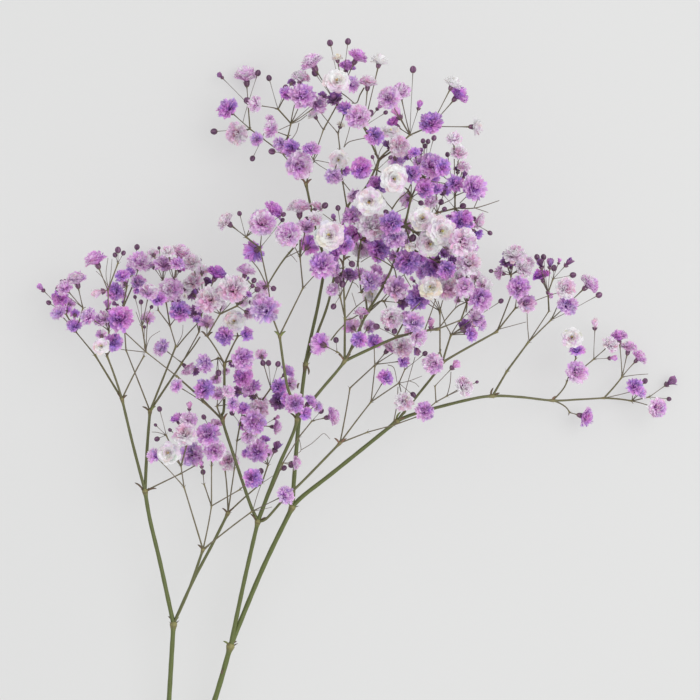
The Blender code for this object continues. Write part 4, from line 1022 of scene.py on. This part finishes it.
def petalSheets(form, rows, cols, scale, dice):
    # every petal of one flower at once, with the flower's axis as z: points, how far along and across each
    # petal they are, and which way each petal points
    turns, polar, lengths, jitter = [], [], [], flowerShape["turnJitter"]
    for n, (steep, count, length) in enumerate(form["whorls"]):
        count = max(3, round(count * scale))
        even = (np.arange(count) + 0.5 * (n % 2)) / count * 2 * math.pi
        turns.append(even + dice.uniform(-jitter, jitter, count))
        polar.append(np.full(count, float(steep)) + dice.normal(0, flowerShape["tiltJitter"], count))
        lengths.append(length * (1 + dice.normal(0, form["uneven"], count).clip(-0.3, 0.15)))
    turns, polar, lengths = np.concatenate(turns), np.radians(np.concatenate(polar)), np.concatenate(lengths)
    many = len(turns)
    curl = np.interp(polar, (0.3, 0.9, 1.4), (*flowerShape["innerCurl"], form["curl"]))
    curl = np.radians(curl + dice.normal(0, flowerShape["curlJitter"], many))
    wide = form["wide"] * (1 + dice.normal(0, flowerShape["wideJitter"], many))
    wide = (wide * np.interp(polar, (0.2, 0.7, 1.5), flowerShape["innerWide"]))[:, None, None]
    u, v = np.linspace(0, 1, rows + 1), np.linspace(-1, 1, cols + 1)
    along = u[None, :, None]
    theta = polar[:, None] * (form["start"] + (1 - form["start"]) * u) + curl[:, None] * u**3
    middle = (theta[:, 1:] + theta[:, :-1]) / 2
    step = lengths[:, None] / rows
    out = np.hstack([np.zeros((many, 1)), np.cumsum(np.sin(middle) * step, 1)]) + 0.05
    up = np.hstack([np.zeros((many, 1)), np.cumsum(np.cos(middle) * step, 1)])
    profile = form["claw"] + (1 - form["claw"]) * np.sin(np.minimum(u * 1.25, 1) * math.pi / 2) ** 1.5
    profile = profile * np.sqrt(np.clip(1 - ((u - 0.72) / 0.42).clip(0) ** 2, 0.1, 1))
    side = wide / 2 * profile[None, :, None] * v[None, None]
    waves = np.sin(v * 4.2 + dice.uniform(0, 6.3, many)[:, None])[:, None] * along**2
    lift = form["cup"] * wide * (v**2 - 0.35)[None, None] * along + form["ruffle"] * wide * waves
    frill = np.abs(np.cos(v * math.pi * 1.5)) - 1 - 0.6 * np.abs(v) ** 3
    frill = frill[None] + dice.normal(0, flowerShape["frillJitter"], (many, cols + 1))
    fringe = form["notch"] * lengths[:, None, None] * frill[:, None] * (u**4)[None, :, None]
    twist = dice.normal(0, form["twist"], many)[:, None, None] * along
    side, lift = side * np.cos(twist) - lift * np.sin(twist), side * np.sin(twist) + lift * np.cos(twist)
    sinT, cosT = np.sin(theta)[..., None], np.cos(theta)[..., None]
    reach = out[..., None] + fringe * sinT + lift * cosT
    height = up[..., None] + fringe * cosT - lift * sinT
    cosA, sinA = np.cos(turns)[:, None, None], np.sin(turns)[:, None, None]
    points = np.stack([reach * cosA - side * sinA, reach * sinA + side * cosA, height], -1)
    points = points * form["reach"] / np.quantile(np.hypot(points[..., 0], points[..., 1]), 0.985)
    return points, np.broadcast_to(along, points.shape[:3]), v, turns


def worldFrame(axis, spin):
    axis = direction(axis)
    right = direction(np.cross(axis, (0, 0, 1) if abs(axis[2]) < 0.95 else (0, 1, 0)))
    up = np.cross(axis, right)
    cos, sin = math.cos(spin), math.sin(spin)
    return np.array([right * cos + up * sin, up * cos - right * sin, axis])


def addPetals(sheaf, head, dice):
    kind, *colours, share = flowers[head["tint"]]
    foot, plain, tip, other = (linear(*colour) for colour in colours)
    facing, width, radius = head["facing"], head["width"], head["radius"]
    form = petalForms["goblet" if kind == "cup" and facing in "SB" else kind]
    if facing == "S" and kind != "tuft":
        form = {**form, **sideForm}
    rows, cols = (5, 4) if form["wide"] > 0.6 else (4, 3) if width >= flowerShape["wideFrom"] else (4, 2)
    least, growing, start = flowerShape["smallFullness"]
    scale = flowerShape["sideFullness"] if facing == "S" else min(1.0, least + growing * (width - start))
    turned = worldFrame(head["axis"], dice.uniform(0, 6.3))
    points, along, v, turns = petalSheets(form, rows, cols, scale, dice)
    many = len(points)
    turning = np.cos(turns - dice.uniform(0, 6.3)) + dice.normal(0, 0.5, many)
    changed = turning > np.quantile(turning, 1 - share)
    t = along[..., None]
    low = np.clip(flowerShape["footTint"][0] + t / flowerShape["footTint"][1], 0, 1)
    high = np.clip((t - flowerShape["tipTint"][0]) / flowerShape["tipTint"][1], 0, 1)
    edge = np.abs(v)[None, None, :, None] ** 2 * flowerShape["edgeTint"] * t
    body = np.where(changed[:, None], other, plain)[:, None, None]
    tip = body + (tip - plain) * flowerShape["tipShare"][facing]
    colours = foot + (body - foot) * low + (tip - body) * np.clip(high * 0.8 + edge, 0, 1)
    shade = np.exp(dice.normal(0, flowerShape["variety"], many).clip(-0.5, 0.3))[:, None, None, None]
    warm = 1 + dice.normal(0, flowerShape["warmth"], (many, 1, 1, 3))
    # painted light: the tint is lifted by the facing's share, to make up for shade
    colours = np.clip(colours * shade * warm * flowerShape["paintedLightByFacing"][facing], 0, 0.95)
    world = head["at"] - head["axis"] * form["foot"] * radius + (points * radius).reshape(-1, 3) @ turned
    sheaf.add(world, gridQuads(rows + 1, cols + 1, many), np.concatenate([colours, t], -1).reshape(-1, 4))


# Calyxes and buds: greenish at the foot, dark plum above, with paler seams between the five sepals.
calyx = {
    "cols": 20,
    "rows": (6, 9),  # of a cup, and of a closed bud
    "foot": linear(112, 104, 70),
    "plum": (linear(96, 58, 88), linear(86, 50, 82)),
    "seam": (linear(170, 140, 150), linear(150, 112, 138)),
    "seamShare": (0.55, 0.6),
    "seamFade": (1.3, 1.6),
    "variety": 0.14,
}


def addCalyx(sheaf, head, dice, closed):
    # a cup with five teeth, or a whole bud when closed
    radius, cols, rows = head["radius"], calyx["cols"], calyx["rows"][closed]
    turned = worldFrame(head["axis"], dice.uniform(0, 6.3))
    turn = np.linspace(0, 2 * math.pi, cols, endpoint=False)
    tooth = np.abs(np.cos(2.5 * turn))[None]
    u = np.linspace(0, 1, rows)[:, None]
    if closed:
        angle = u * math.pi * 0.985 + 0.02
        spread = np.sin(angle) * (1 - 0.07 * (1 - tooth) ** 4 * np.sin(angle)) * (1 - 0.1 * u) * radius
        height = -np.cos(angle) * 1.06 * radius
    else:
        opened = head["tint"].startswith("open")
        deep = flowerShape["openDeep" if opened else "calyxDeep"]
        least, most = flowerShape["calyxWide"]
        usual = min(max(flowerShape["calyxSize"] / radius, least), most)
        widest = flowerShape["openWide"] if opened else usual
        wide = 0.30 + 0.70 * np.sin(np.minimum(u * 1.15, 1) * math.pi / 2) ** 0.8
        spread = wide * (1 + 0.35 * np.clip(u - 0.6, 0, 1) * tooth) * widest * radius
        top = (0.62 if opened else 0.44) + 0.24 * (tooth - 0.45)
        height = (-deep + u * top) * radius
    seams = (1 - tooth) ** (3 if closed else 2) * np.clip(u * calyx["seamFade"][closed], 0, 1)
    points = np.stack([spread * np.cos(turn), spread * np.sin(turn), height + 0 * spread], -1).reshape(-1, 3)
    base = calyx["foot"] + (calyx["plum"][closed] - calyx["foot"]) * np.clip(u * 3.2, 0, 1)[..., None]
    colours = base + (calyx["seam"][closed] - base) * (seams[..., None] * calyx["seamShare"][closed])
    shade = math.exp(dice.normal(0, calyx["variety"]))
    tints = rgba(np.clip(colours.reshape(-1, 3) * shade, 0, 0.9))
    sheaf.add(head["at"] + points @ turned, gridQuads(rows, cols, closed=True), tints)


# The small yellow or brown middle of a white flower, in radii of the flower.
heart = {
    "count": 6,
    "pale": linear(236, 226, 158),
    "ripe": linear(230, 200, 150),
    "thin": 0.022,
    "lean": (0.02, 0.011),
    "tall": (0.42, 0.06),
    "sides": 5,
}


def addHeart(sheaf, head, dice):
    radius = head["radius"]
    turned = worldFrame(head["axis"], dice.uniform(0, 6.3))
    ripe = dice.uniform(0, 1)
    tint = heart["pale"] * (1 - ripe) + heart["ripe"] * ripe
    tints = np.clip([tint * share for share in (0.7, 0.85, 1, 1.15)], 0, 0.9)
    low = -petalForms["cup"]["foot"] * radius
    thin = radius * heart["thin"]
    for n in range(heart["count"]):
        turn, lean = n * 2.4, heart["lean"][0] + heart["lean"][1] * n
        start = np.array((0, 0, low + 0.1 * radius))
        tall = low + (heart["tall"][0] + heart["tall"][1] * math.sin(n * 5)) * radius
        end = np.array((math.cos(turn) * lean * radius, math.sin(turn) * lean * radius, tall))
        path = head["at"] + bend(start, (start + end) / 2 + end * 0.1, end, 4) @ turned
        addTube(sheaf, path, (thin, thin, thin * 1.4, thin * 2.1), tints, heart["sides"])


# The thread under each flower, from the joint to the foot of the calyx.
twig = {
    "step": 0.8,  # millimetres between its rings
    "sides": 6,
    "leave": 0.95,
    "arrive": 0.75,
    "sway": 0.05,
    "budDeep": 0.9,  # how far below the middle of a bud it ends, in radii
    "sunk": 0.04,  # and how far into a calyx
    "thick": (0.075, 0.00011, 0.0002),  # share of the flower's radius, then least and most in metres
    "waist": 0.45,
    "flare": 0.3,
    "variety": 0.1,
}


def addTwig(sheaf, head, dice):
    # it meets the calyx in line with the flower's axis
    start, radius = head["tip"], head["radius"]
    closed = head["tint"] == "bud" or head["tint"].startswith("open")
    deep = twig["budDeep"] if closed else flowerShape["calyxDeep"] - twig["sunk"]
    end = head["at"] - head["axis"] * radius * deep
    span = np.linalg.norm(end - start)
    leave = (end - start) * twig["leave"] if head["control"] is None else (head["control"] - start) * 2
    leave = leave + np.array((*dice.normal(0, twig["sway"], 2), 0)) * span
    arrive = head["axis"] * span * twig["arrive"] + (end - start) * (1 - twig["arrive"])
    t = np.linspace(0, 1, max(6, round(span / (twig["step"] * mm))))
    share, least, most = twig["thick"]
    radii = np.clip(radius * share, least, most) * (1.25 - twig["waist"] * np.sin(t * math.pi * 0.9))
    radii = radii * (1 + twig["flare"] * np.clip(t - 0.85, 0, 1) * 6)
    tints = barkTint(radii) * (1 + twig["variety"] * dice.normal())
    addTube(sheaf, curveBetween(start, leave, end, arrive, t), radii, tints, twig["sides"])


def newMaterial(name):
    made = bpy.data.materials.new(name)
    made.use_nodes = True
    return made, made.node_tree, made.node_tree.nodes["Principled BSDF"]


def addNode(tree, kind, **settings):
    node = tree.nodes.new(kind)
    for key, value in settings.items():
        if key in node.inputs:
            node.inputs[key].default_value = value
        else:
            setattr(node, key, value)
    return node


def mapped(tree, value, low, high, newLow, newHigh):
    node = addNode(tree, "ShaderNodeMapRange")
    tree.links.new(value, node.inputs["Value"])
    for key, number in (("From Min", low), ("From Max", high), ("To Min", newLow), ("To Max", newHigh)):
        node.inputs[key].default_value = number
    return node.outputs["Result"]


def times(tree, first, second, kind="ShaderNodeVectorMath"):
    node = addNode(tree, kind, operation="MULTIPLY")
    tree.links.new(first, node.inputs[0])
    tree.links.new(second, node.inputs[1])
    return node.outputs[0]


def bumped(tree, shader, height, strength, depth):
    bump = addNode(tree, "ShaderNodeBump", Strength=strength, Distance=depth)
    tree.links.new(height, bump.inputs["Height"])
    tree.links.new(bump.outputs["Normal"], shader.inputs["Normal"])


def skin(name, shades):
    # a finish whose painted tint is darkened and lightened by noise, once for each of the shades
    made, tree, shader = newMaterial(name)
    noises, parts = [], []
    for follows, scale, detail, roughness, spread in shades:
        if follows == "grain":
            source = addNode(tree, "ShaderNodeAttribute", attribute_name="grain").outputs["Vector"]
        else:
            source = addNode(tree, "ShaderNodeTexCoord").outputs["Object"]
        noise = addNode(tree, "ShaderNodeTexNoise", Scale=scale, Detail=detail, Roughness=roughness)
        tree.links.new(source, noise.inputs["Vector"])
        noises.append(noise.outputs["Fac"])
        parts.append(mapped(tree, noises[-1], *spread))
    shade = parts[0] if len(parts) == 1 else times(tree, *parts, "ShaderNodeMath")
    tint = addNode(tree, "ShaderNodeVertexColor", layer_name="tint")
    colour = times(tree, tint.outputs["Color"], shade)
    tree.links.new(colour, shader.inputs["Base Color"])
    return made, tree, shader, noises, colour


def roughened(tree, shader, noise, finish):
    spread = [finish["roughness"] + more for more in finish["roughSpread"]]
    tree.links.new(mapped(tree, noise, 0.3, 0.7, *spread), shader.inputs["Roughness"])


# A noise in a finish is: what it follows, its cells in a metre (or across the grain), its detail and
# roughness, then the values it counts between and how dark and light it makes the tint there.

# Petal finish: soft and matte, lit from behind too, with faint veins and a mottled dye.
petalFinish = {
    "mottle": ("place", 900.0, 3.0, 0.6, (0.3, 0.7, 0.88, 1.12)),
    "grain": ("place", 5200.0, 2.0, 0.5, (0.3, 0.7, 0.93, 1.06)),
    "roughness": 0.72,
    "shine": 0.25,
    "sheen": 0.15,
    "bump": (0.25, 0.00006),  # strength, and depth in metres
    "through": 0.5,  # share of the light that comes through a petal
}


def makePetalMaterial():
    made, tree, shader, noises, colour = skin("petal_skin", (petalFinish["mottle"], petalFinish["grain"]))
    shader.inputs["Roughness"].default_value = petalFinish["roughness"]
    shader.inputs["Specular IOR Level"].default_value = petalFinish["shine"]
    shader.inputs["Sheen Weight"].default_value = petalFinish["sheen"]
    bumped(tree, shader, noises[1], *petalFinish["bump"])
    glow = addNode(tree, "ShaderNodeBsdfTranslucent")
    tree.links.new(colour, glow.inputs["Color"])
    both = addNode(tree, "ShaderNodeMixShader")
    both.inputs["Fac"].default_value = petalFinish["through"]
    tree.links.new(shader.outputs[0], both.inputs[1])
    tree.links.new(glow.outputs[0], both.inputs[2])
    tree.links.new(both.outputs[0], tree.nodes["Material Output"].inputs["Surface"])
    return made


# Bark finish: streaks that run along the stem, and fine spots.
barkFinish = {
    "streaks": ("grain", 2.2, 4.0, 0.65, (0.32, 0.68, 0.72, 1.22)),
    "spots": ("place", 1500.0, 2.0, 0.5, (0.3, 0.7, 0.9, 1.1)),
    "roughness": 0.5,
    "roughSpread": (-0.08, 0.15),
    "bump": (0.4, 0.00008),
}


def makeBarkMaterial():
    made, tree, shader, noises, _ = skin("stem_skin", (barkFinish["streaks"], barkFinish["spots"]))
    roughened(tree, shader, noises[0], barkFinish)
    bumped(tree, shader, noises[0], *barkFinish["bump"])
    return made


# Calyx and bud finish: leathery, with fine mottling.
calyxFinish = {
    "mottle": ("place", 2400.0, 3.0, 0.6, (0.3, 0.7, 0.78, 1.2)),
    "roughness": 0.55,
    "roughSpread": (-0.1, 0.1),
    "bump": (0.3, 0.00005),
}


def makeCalyxMaterial():
    made, tree, shader, noises, _ = skin("bud_skin", (calyxFinish["mottle"],))
    roughened(tree, shader, noises[0], calyxFinish)
    bumped(tree, shader, noises[0], *calyxFinish["bump"])
    return made


petalMaterial = makePetalMaterial()
barkMaterial = makeBarkMaterial()
calyxMaterial = makeCalyxMaterial()
makeStems()

# Names of the record's finishes, listed by spray; the others are violet.
sprayFinishes = {
    "white_petals": "mass_white_spray high_low_spray",
    "blush_petals": "left_shoulder_spray crown_low_spray crest_spray inner_left_spray shoulder_spray "
                    "twin_left_spray rail_tip_spray",
    "pink_petals": "left_reach_spray top_left_spray top_middle_spray high_left_spray high_right_spray "
                   "heart_spray middle_spray reach_spray tip_spray gap_spray curl_spray",
    "lilac_petals": "knee_spray inner_middle_spray middle_edge_spray crown_inner_spray rail_bud_spray "
                    "right_crest_spray rose_spray fan_spray",
}

# Bare twigs, by spray: their places in the picture with heights in mm, then the radius in mm at both ends.
bareTwigs = {
    "mass_right_spray": [
        "455 208 40, 475 208 41, 499 200.6 42 | 0.24 0.12", "475 208 41, 488 212.5 40 | 0.16 0.1",
        "474 208 41, 479 196 42, 480 190 42 | 0.15 0.12",
        "440 205 38, 452 199 38, 455 194 38 | 0.15 0.12", "460 203 40, 470 193 41 | 0.16 0.12",
        "432 212 39, 436 202 40 | 0.14 0.1"],
    "mass_top_spray": [
        "392 209 42, 399 199 43, 407 192 44, 412 181 45 | 0.27 0.17",
        "407 192 44, 412 199 43 | 0.2 0.16",
        "381 194 40, 387 203 41, 392 209 42, 391 215 41 | 0.14 0.2",
        "391 215 42, 399 211 42, 406 208 42 | 0.13 0.13",
        "424 180 44, 436 182 43, 448 184 42 | 0.17 0.15", "443 176 42, 450 182 41 | 0.18 0.12"],
    "mass_white_spray": ["449 243 50, 457 249 50, 464 256 49 | 0.2 0.14"],
    "mass_violet_spray": [
        "404 225 47, 409 231 48, 407.5 240 47, 408 250 45 | 0.14 0.12",
        "398 245 42, 407 244.5 43, 415 243 43 | 0.11 0.1",
        "375 257 40, 385 262 41, 394 268 41 | 0.18 0.24",
        "386 257 41, 394 268 41, 397 281 41 | 0.14 0.26", "397 280 41, 405 274 42 | 0.17 0.12",
        "404 275 41, 411 287 41 | 0.17 0.14"],
    "rose_spray": [
        "361 262 34, 369 257 36, 377 254 37 | 0.15 0.12",
        "368 313 38, 380 302 38, 390 290 39 | 0.22 0.16", "373 292 38, 371 306 38 | 0.12 0.12",
        "357 267 33, 358 249 35, 353 236 36 | 0.2 0.14"],
    "mast_spray": [
        "331 340 39, 338 331 40, 345 324 40 | 0.26 0.22",
        "345 319 41, 355 308 42, 366 299 43 | 0.2 0.16",
        "344.5 301 42, 349 290 43, 354 278 44 | 0.26 0.2",
        "352 282 44, 356 284 44, 358.5 287.5 43 | 0.14 0.1", "352 293 43, 356 306 42 | 0.11 0.11",
        "345 320 41, 352 318.5 41, 361 313 41 | 0.25 0.2",
        "323 214 46, 330 219 46, 341 227 46 | 0.12 0.14"],
    "rail_bud_spray": [
        "397 335 43, 404 322 44, 412 311 44, 420 303 44 | 0.3 0.2",
        "424 332 41, 431 313 42, 436 298 43 | 0.2 0.16"],
    "rail_tip_spray": [
        "439 328 38, 455 308.5 37, 464 303 36, 472 299 36 | 0.22 0.2",
        "455 308.5 37, 457 302 37, 459 296 37 | 0.13 0.1",
        "466 312 34, 467 305 34, 464 298 34 | 0.22 0.16",
        "461 320 35, 470 311 34, 476 306 34 | 0.15 0.1"],
    "shoulder_spray": [
        "438 301 34, 441 311 33, 446 325 30, 451 334 28 | 0.16 0.2",
        "434 304 34, 438 309 33, 440 316 33 | 0.12 0.2",
        "452 333 27, 457 325 27, 461 320 27 | 0.2 0.16",
        "451 334 27, 459 333 28, 466 332 28 | 0.22 0.16"],
    "crown_inner_spray": [
        "267 286 40, 276 271 41, 285 258 42, 297 244 43 | 0.26 0.34",
        "285 258 42, 294 253.5 43, 303 249 43 | 0.16 0.14",
        "288 252 42, 293 257 42, 297 262 42 | 0.12 0.08",
        "266 284 40, 259 270 39, 252 261 38 | 0.22 0.16"],
    "right_crest_spray": [
        "529 341 27, 527.5 325 26, 527 309 26 | 0.17 0.12",
        "532 302 25, 545 297 24, 557 293 24 | 0.14 0.12"],
    "high_low_spray": [
        "378 160 43, 380 151 43, 385 143 43 | 0.14 0.09",
        "378 160 43, 376 150 43, 373 141 43 | 0.12 0.08",
        "380 158 43, 384 154 44, 388.5 150 44 | 0.26 0.34"],
    "tip_spray": [
        "622 377 10, 635 375 10, 648 374 9 | 0.16 0.1",
        "604 398 9.5, 618 395 9, 630 392 9 | 0.16 0.12"],
    "fan_spray": ["496 330 25, 511 326 25, 526 322 25 | 0.16 0.1"],
    "curl_spray": [
        "299 438 27, 301 450 27, 297 453.5 27 | 0.13 0.1",
        "301 450 27, 311 444 28, 318 438 29, 324 433.5 29, 330 439 28 | 0.14 0.09"],
    "gap_spray": [
        "399 383 28, 409 381 28, 422 376 28 | 0.15 0.08",
        "409 381 28, 415 383 28, 419 387 27 | 0.12 0.08",
        "388 365 27, 394 368 27, 397 382 28 | 0.15 0.1",
        "404 397 27, 409 378 28, 415 357 28 | 0.14 0.12"],
    "inner_middle_spray": ["252 511 31, 262 509.5 30, 272 507 29 | 0.13 0.08"],
    "middle_edge_spray": ["253 510 15, 257 496 17, 262 482 18 | 0.13 0.12"],
    "inner_left_spray": ["152 432 28, 158 432.5 29, 166 435 31 | 0.1 0.12"],
    "low_twig_spray": [
        "394 420 28, 397 404 29, 398 387 29 | 0.2 0.15",
        "451 372 32, 450 384 31, 447 396 30 | 0.13 0.15"],
    "top_middle_spray": [
        "313 160 36, 320 161 37, 330 163 37 | 0.15 0.1",
        "313 160 36, 319 165 37, 327 170 37 | 0.15 0.1",
        "312 163 36, 317 155 36, 319 149 36 | 0.15 0.12",
        "340 92 36, 347 97 37, 354 103 37 | 0.2 0.16",
        "352 103 37, 357 102.5 37, 360 95 38, 364 88 38 | 0.16 0.26",
        "338 133 37, 325 118 37, 310 98 37 | 0.17 0.12",
        "344 147 36, 350 141.5 36, 368 137.5 37 | 0.18 0.13",
        "344 147 36, 348 134 36, 352 118 36 | 0.14 0.1"],
    "top_inner_spray": [
        "299 123 33, 296 133 33, 288 144 33 | 0.14 0.12", "279 130 32, 290 125 33 | 0.12 0.14",
        "290 124 33, 299 121 33, 307 115 34 | 0.16 0.12"],
    "top_left_spray": ["248 104 5, 245 114 6, 243 122 7 | 0.12 0.1"],
    "left_shoulder_spray": [
        "109 289 36, 106 275 36, 108 258 36 | 0.12 0.09",
        "109 287 36, 111 272 36, 112 259 36 | 0.12 0.08",
        "108 286 36, 102 277 36, 96 271 36 | 0.12 0.08",
        "144 352 22, 131 350.5 22, 121 349.5 22 | 0.16 0.12"],
    "crown_edge_spray": [
        "163 281 18, 166 271 19, 168 264 19 | 0.12 0.1",
        "174 281 21, 170 272 21, 169 265 21 | 0.12 0.1",
        "174 281 21, 177 273 21, 178 266 21 | 0.12 0.1"],
    "left_reach_spray": [
        "146 350 30, 150 338 30, 160 331 30 | 0.13 0.08", "136 312 28, 141 325 27 | 0.1 0.12"],
    "crown_low_spray": [
        "177 347 15, 186 336 15, 197 324 14 | 0.26 0.2",
        "182 362 14, 192 349 14, 200 337 13 | 0.3 0.24",
        "177 345 15, 182 335 15, 183 325 15 | 0.13 0.08"],
    "crest_spray": [
        "248 281 40, 253 285.5 40, 259 290 40 | 0.24 0.18",
        "220 314 39, 228 306 39, 233 299 40 | 0.16 0.12"],
}

# Arms that are thicker than the others, in millimetres of radius.
stoutArms = {
    "mast_spray a": 0.44, "mast_spray b": 0.36, "left_tip_spray a": 0.4, "left_shoulder_spray a": 0.4,
    "crown_low_spray a": 0.42, "crown_edge_spray a": 0.4, "top_left_spray a": 0.4, "left_reach_spray a": 0.42,
    "left_reach_spray b": 0.38, "right_crest_spray a": 0.42, "right_crest_spray b": 0.38,
    "mass_top_spray a": 0.42,
}

# The arms of a spray, from its fork to the joints that the flowers' twigs grow from.
armShape = {
    "thick": (0.34, 0.27),  # millimetres of radius at the fork, and for an arm that grows from another
    "byHeads": (0.8, 0.06, 1.2),  # share of that it has, its growth for each head it carries, and the most
    "thinner": 0.22,
    "ripple": (0.04, 30),
    "swell": (0.55, 1.0),  # how much the joint swells, and over how many rings
    "paleJoint": (0.5, 1.3),
    "bark": 0.9,
    "sides": 8,
    "scale": 0.9,  # millimetres
    "scaleSeat": 0.8,
    "scaleTilt": (0.3, 0.2, 1),
}


def addArm(sheaf, arm, roots, children):
    shape, key = armShape, arm["node"] + " " + arm["key"]
    start = arm["start"] if arm["parent"] else roots[arm["node"]]
    path = bend(start, arm["control"], arm["end"], max(6, round(np.linalg.norm(arm["end"] - start) / mm)))
    share = np.linspace(0, 1, len(path))
    least, more, most = shape["byHeads"]
    thick = shape["thick"][bool(arm["parent"])] * mm * min(most, least + more * children[key])
    thick = stoutArms.get(key, thick / mm) * mm
    ripple, turns = shape["ripple"]
    radii = thick * (1 - shape["thinner"] * share) * (1 + ripple * np.sin(share * turns))
    swell, rings = shape["swell"]
    radii = radii * (1 + swell * np.exp(-((1 - share) * len(path) / rings) ** 2))
    pale, rings = shape["paleJoint"]
    near = np.exp(-((1 - share) * len(path) / rings) ** 2) * pale
    tints = blend(barkTint(radii * shape["bark"]), bark["joint"], near)
    path, radii = thinEnds(path, radii)
    addTube(sheaf, path, radii, np.vstack([tints, tints[-1:], tints[-1:]]), shape["sides"])
    ahead = direction(path[-1] - path[-4])
    side = direction(np.cross(ahead, shape["scaleTilt"]))
    for out in (side, -side):
        at = arm["end"] + out * thick * shape["scaleSeat"]
        addScale(sheaf, at, ahead, out, shape["scale"] * mm, bark["scale"])


def addBareTwig(sheaf, row):
    # a rounded line through its places
    stops, _, thick = row.partition("|")
    places = np.array([spot(*map(float, stop.split())) for stop in stops.split(",")])
    ends = np.vstack([places[:1], places, places[-1:]])
    legs = [smoothLeg(*ends[n:n + 4], np.arange(5) / 5) for n in range(len(places) - 1)]
    path = np.vstack(legs + [places[-1:]])
    radii = np.linspace(*map(float, thick.split()), len(path)) * mm
    path, radii = thinEnds(path, radii)
    path, radii = thinEnds(path[::-1], radii[::-1])
    addTube(sheaf, path, radii, barkTint(radii), twig["sides"])


firstSeed = 100  # every spray has a seed of its own, counted up from this one


def makeSprays():
    slots = {name: slot for slot, names in sprayFinishes.items() for name in names.split()}
    roots = {name: forkSpot(fork) for name, (fork, _) in sprays.items()}
    children = {name + " " + key: len(carried)
                for name, (_, parts) in sprays.items() for _, key, _, carried in parts}
    for number, name in enumerate(sprays):
        dice = np.random.default_rng(firstSeed + number)
        twigs, petals, cups = Sheaf(), Sheaf(), Sheaf()
        for arm in arms:
            if arm["node"] == name:
                addArm(twigs, arm, roots, children)
        for head in heads:
            if head["node"] != name:
                continue
            addTwig(twigs, head, dice)
            bud = head["tint"] == "bud"
            addCalyx(cups, head, dice, bud)
            if not bud:
                addPetals(petals, head, dice)
            if head["tint"] in ("white", "cream") and head["facing"] in "FH":
                addHeart(cups, head, dice)
        for row in bareTwigs.get(name, []):
            addBareTwig(twigs, row)
        addBracts(twigs, name)
        slot = slots.get(name, "violet_petals")
        twigs.build(name + "_twigs", name, "brown_branch", barkMaterial)
        petals.build(name + "_petals", name, slot, petalMaterial)
        cups.build(name + "_calyxes", name, slot, calyxMaterial)
    print("sprays made:", len(sprays))


makeSprays()
made = [m for m in bpy.data.meshes if m.name.endswith(("_twigs", "_petals", "_calyxes", "_bark"))]
triangles = [2 * len(m.polygons) for m in made]
print("triangles:", sum(triangles), "most in one:", max(triangles))

# Pale grey table and soft studio light.
studio = {
    "tableHalf": 3.0,
    "table": (0.26, 0.26, 0.255),
    "tableGlow": 0.44,
    "tableRoughness": 0.9,
    "tableShine": 0.1,
    "tableNoise": (6.0, 2.0),  # scale and detail
    "tableMottle": (0.99, 1.01),
    "air": (0.98, 0.99, 1.0),
    "airStrength": 0.92,
    "lampPower": 5.5,
    "lampPlace": (0.50, 0.15, 0.95),
    "lampSize": 0.9,
}


def makeTable():
    half = studio["tableHalf"]
    mesh = bpy.data.meshes.new("table_top")
    corners = [(-half, -half, 0), (half, -half, 0), (half, half, 0), (-half, half, 0)]
    mesh.from_pydata(corners, [], [(0, 1, 2, 3)])
    table = bpy.data.objects.new("table_top", mesh)
    bpy.context.scene.collection.objects.link(table)
    made, tree, shader = newMaterial("table_finish")
    scale, detail = studio["tableNoise"]
    noise = addNode(tree, "ShaderNodeTexNoise", Scale=scale, Detail=detail)
    tree.links.new(addNode(tree, "ShaderNodeTexCoord").outputs["Object"], noise.inputs["Vector"])
    shade = mapped(tree, noise.outputs["Fac"], 0.3, 0.7, *studio["tableMottle"])
    base = addNode(tree, "ShaderNodeRGB")
    base.outputs[0].default_value = (*studio["table"], 1)
    tree.links.new(times(tree, base.outputs[0], shade), shader.inputs["Base Color"])
    shader.inputs["Roughness"].default_value = studio["tableRoughness"]
    shader.inputs["Specular IOR Level"].default_value = studio["tableShine"]
    shader.inputs["Emission Color"].default_value = (1, 1, 1, 1)
    shader.inputs["Emission Strength"].default_value = studio["tableGlow"]
    mesh.materials.append(made)


def makeLight():
    world = bpy.data.worlds.new("studio_air")
    world.use_nodes = True
    air = world.node_tree.nodes["Background"]
    air.inputs["Color"].default_value = (*studio["air"], 1)
    air.inputs["Strength"].default_value = studio["airStrength"]
    bpy.context.scene.world = world
    lamp = bpy.data.lights.new("soft_box", "AREA")
    lamp.shape, lamp.size, lamp.energy = "DISK", studio["lampSize"], studio["lampPower"]
    box = bpy.data.objects.new("soft_box", lamp)
    box.location = studio["lampPlace"]
    box.rotation_euler = (-Vector(studio["lampPlace"])).to_track_quat("-Z", "Y").to_euler()
    bpy.context.scene.collection.objects.link(box)


def makeCamera():
    lens = bpy.data.cameras.new("view")
    lens.sensor_width = 36
    away = picture["eyeHeight"] - picture["middleHeight"]
    lens.lens = lens.sensor_width * away / picture["width"]
    lens.clip_start, lens.clip_end = 0.01, 20
    camera = bpy.data.objects.new("view", lens)
    camera.location = (picture["eyeAcross"], picture["eyeUp"], picture["eyeHeight"])
    bpy.context.scene.collection.objects.link(camera)
    bpy.context.scene.camera = camera


makeTable()
makeLight()
makeCamera()
bpy.context.scene.view_settings.view_transform = "Standard"
bpy.context.scene.view_settings.look = "None"
print("studio and camera ready")
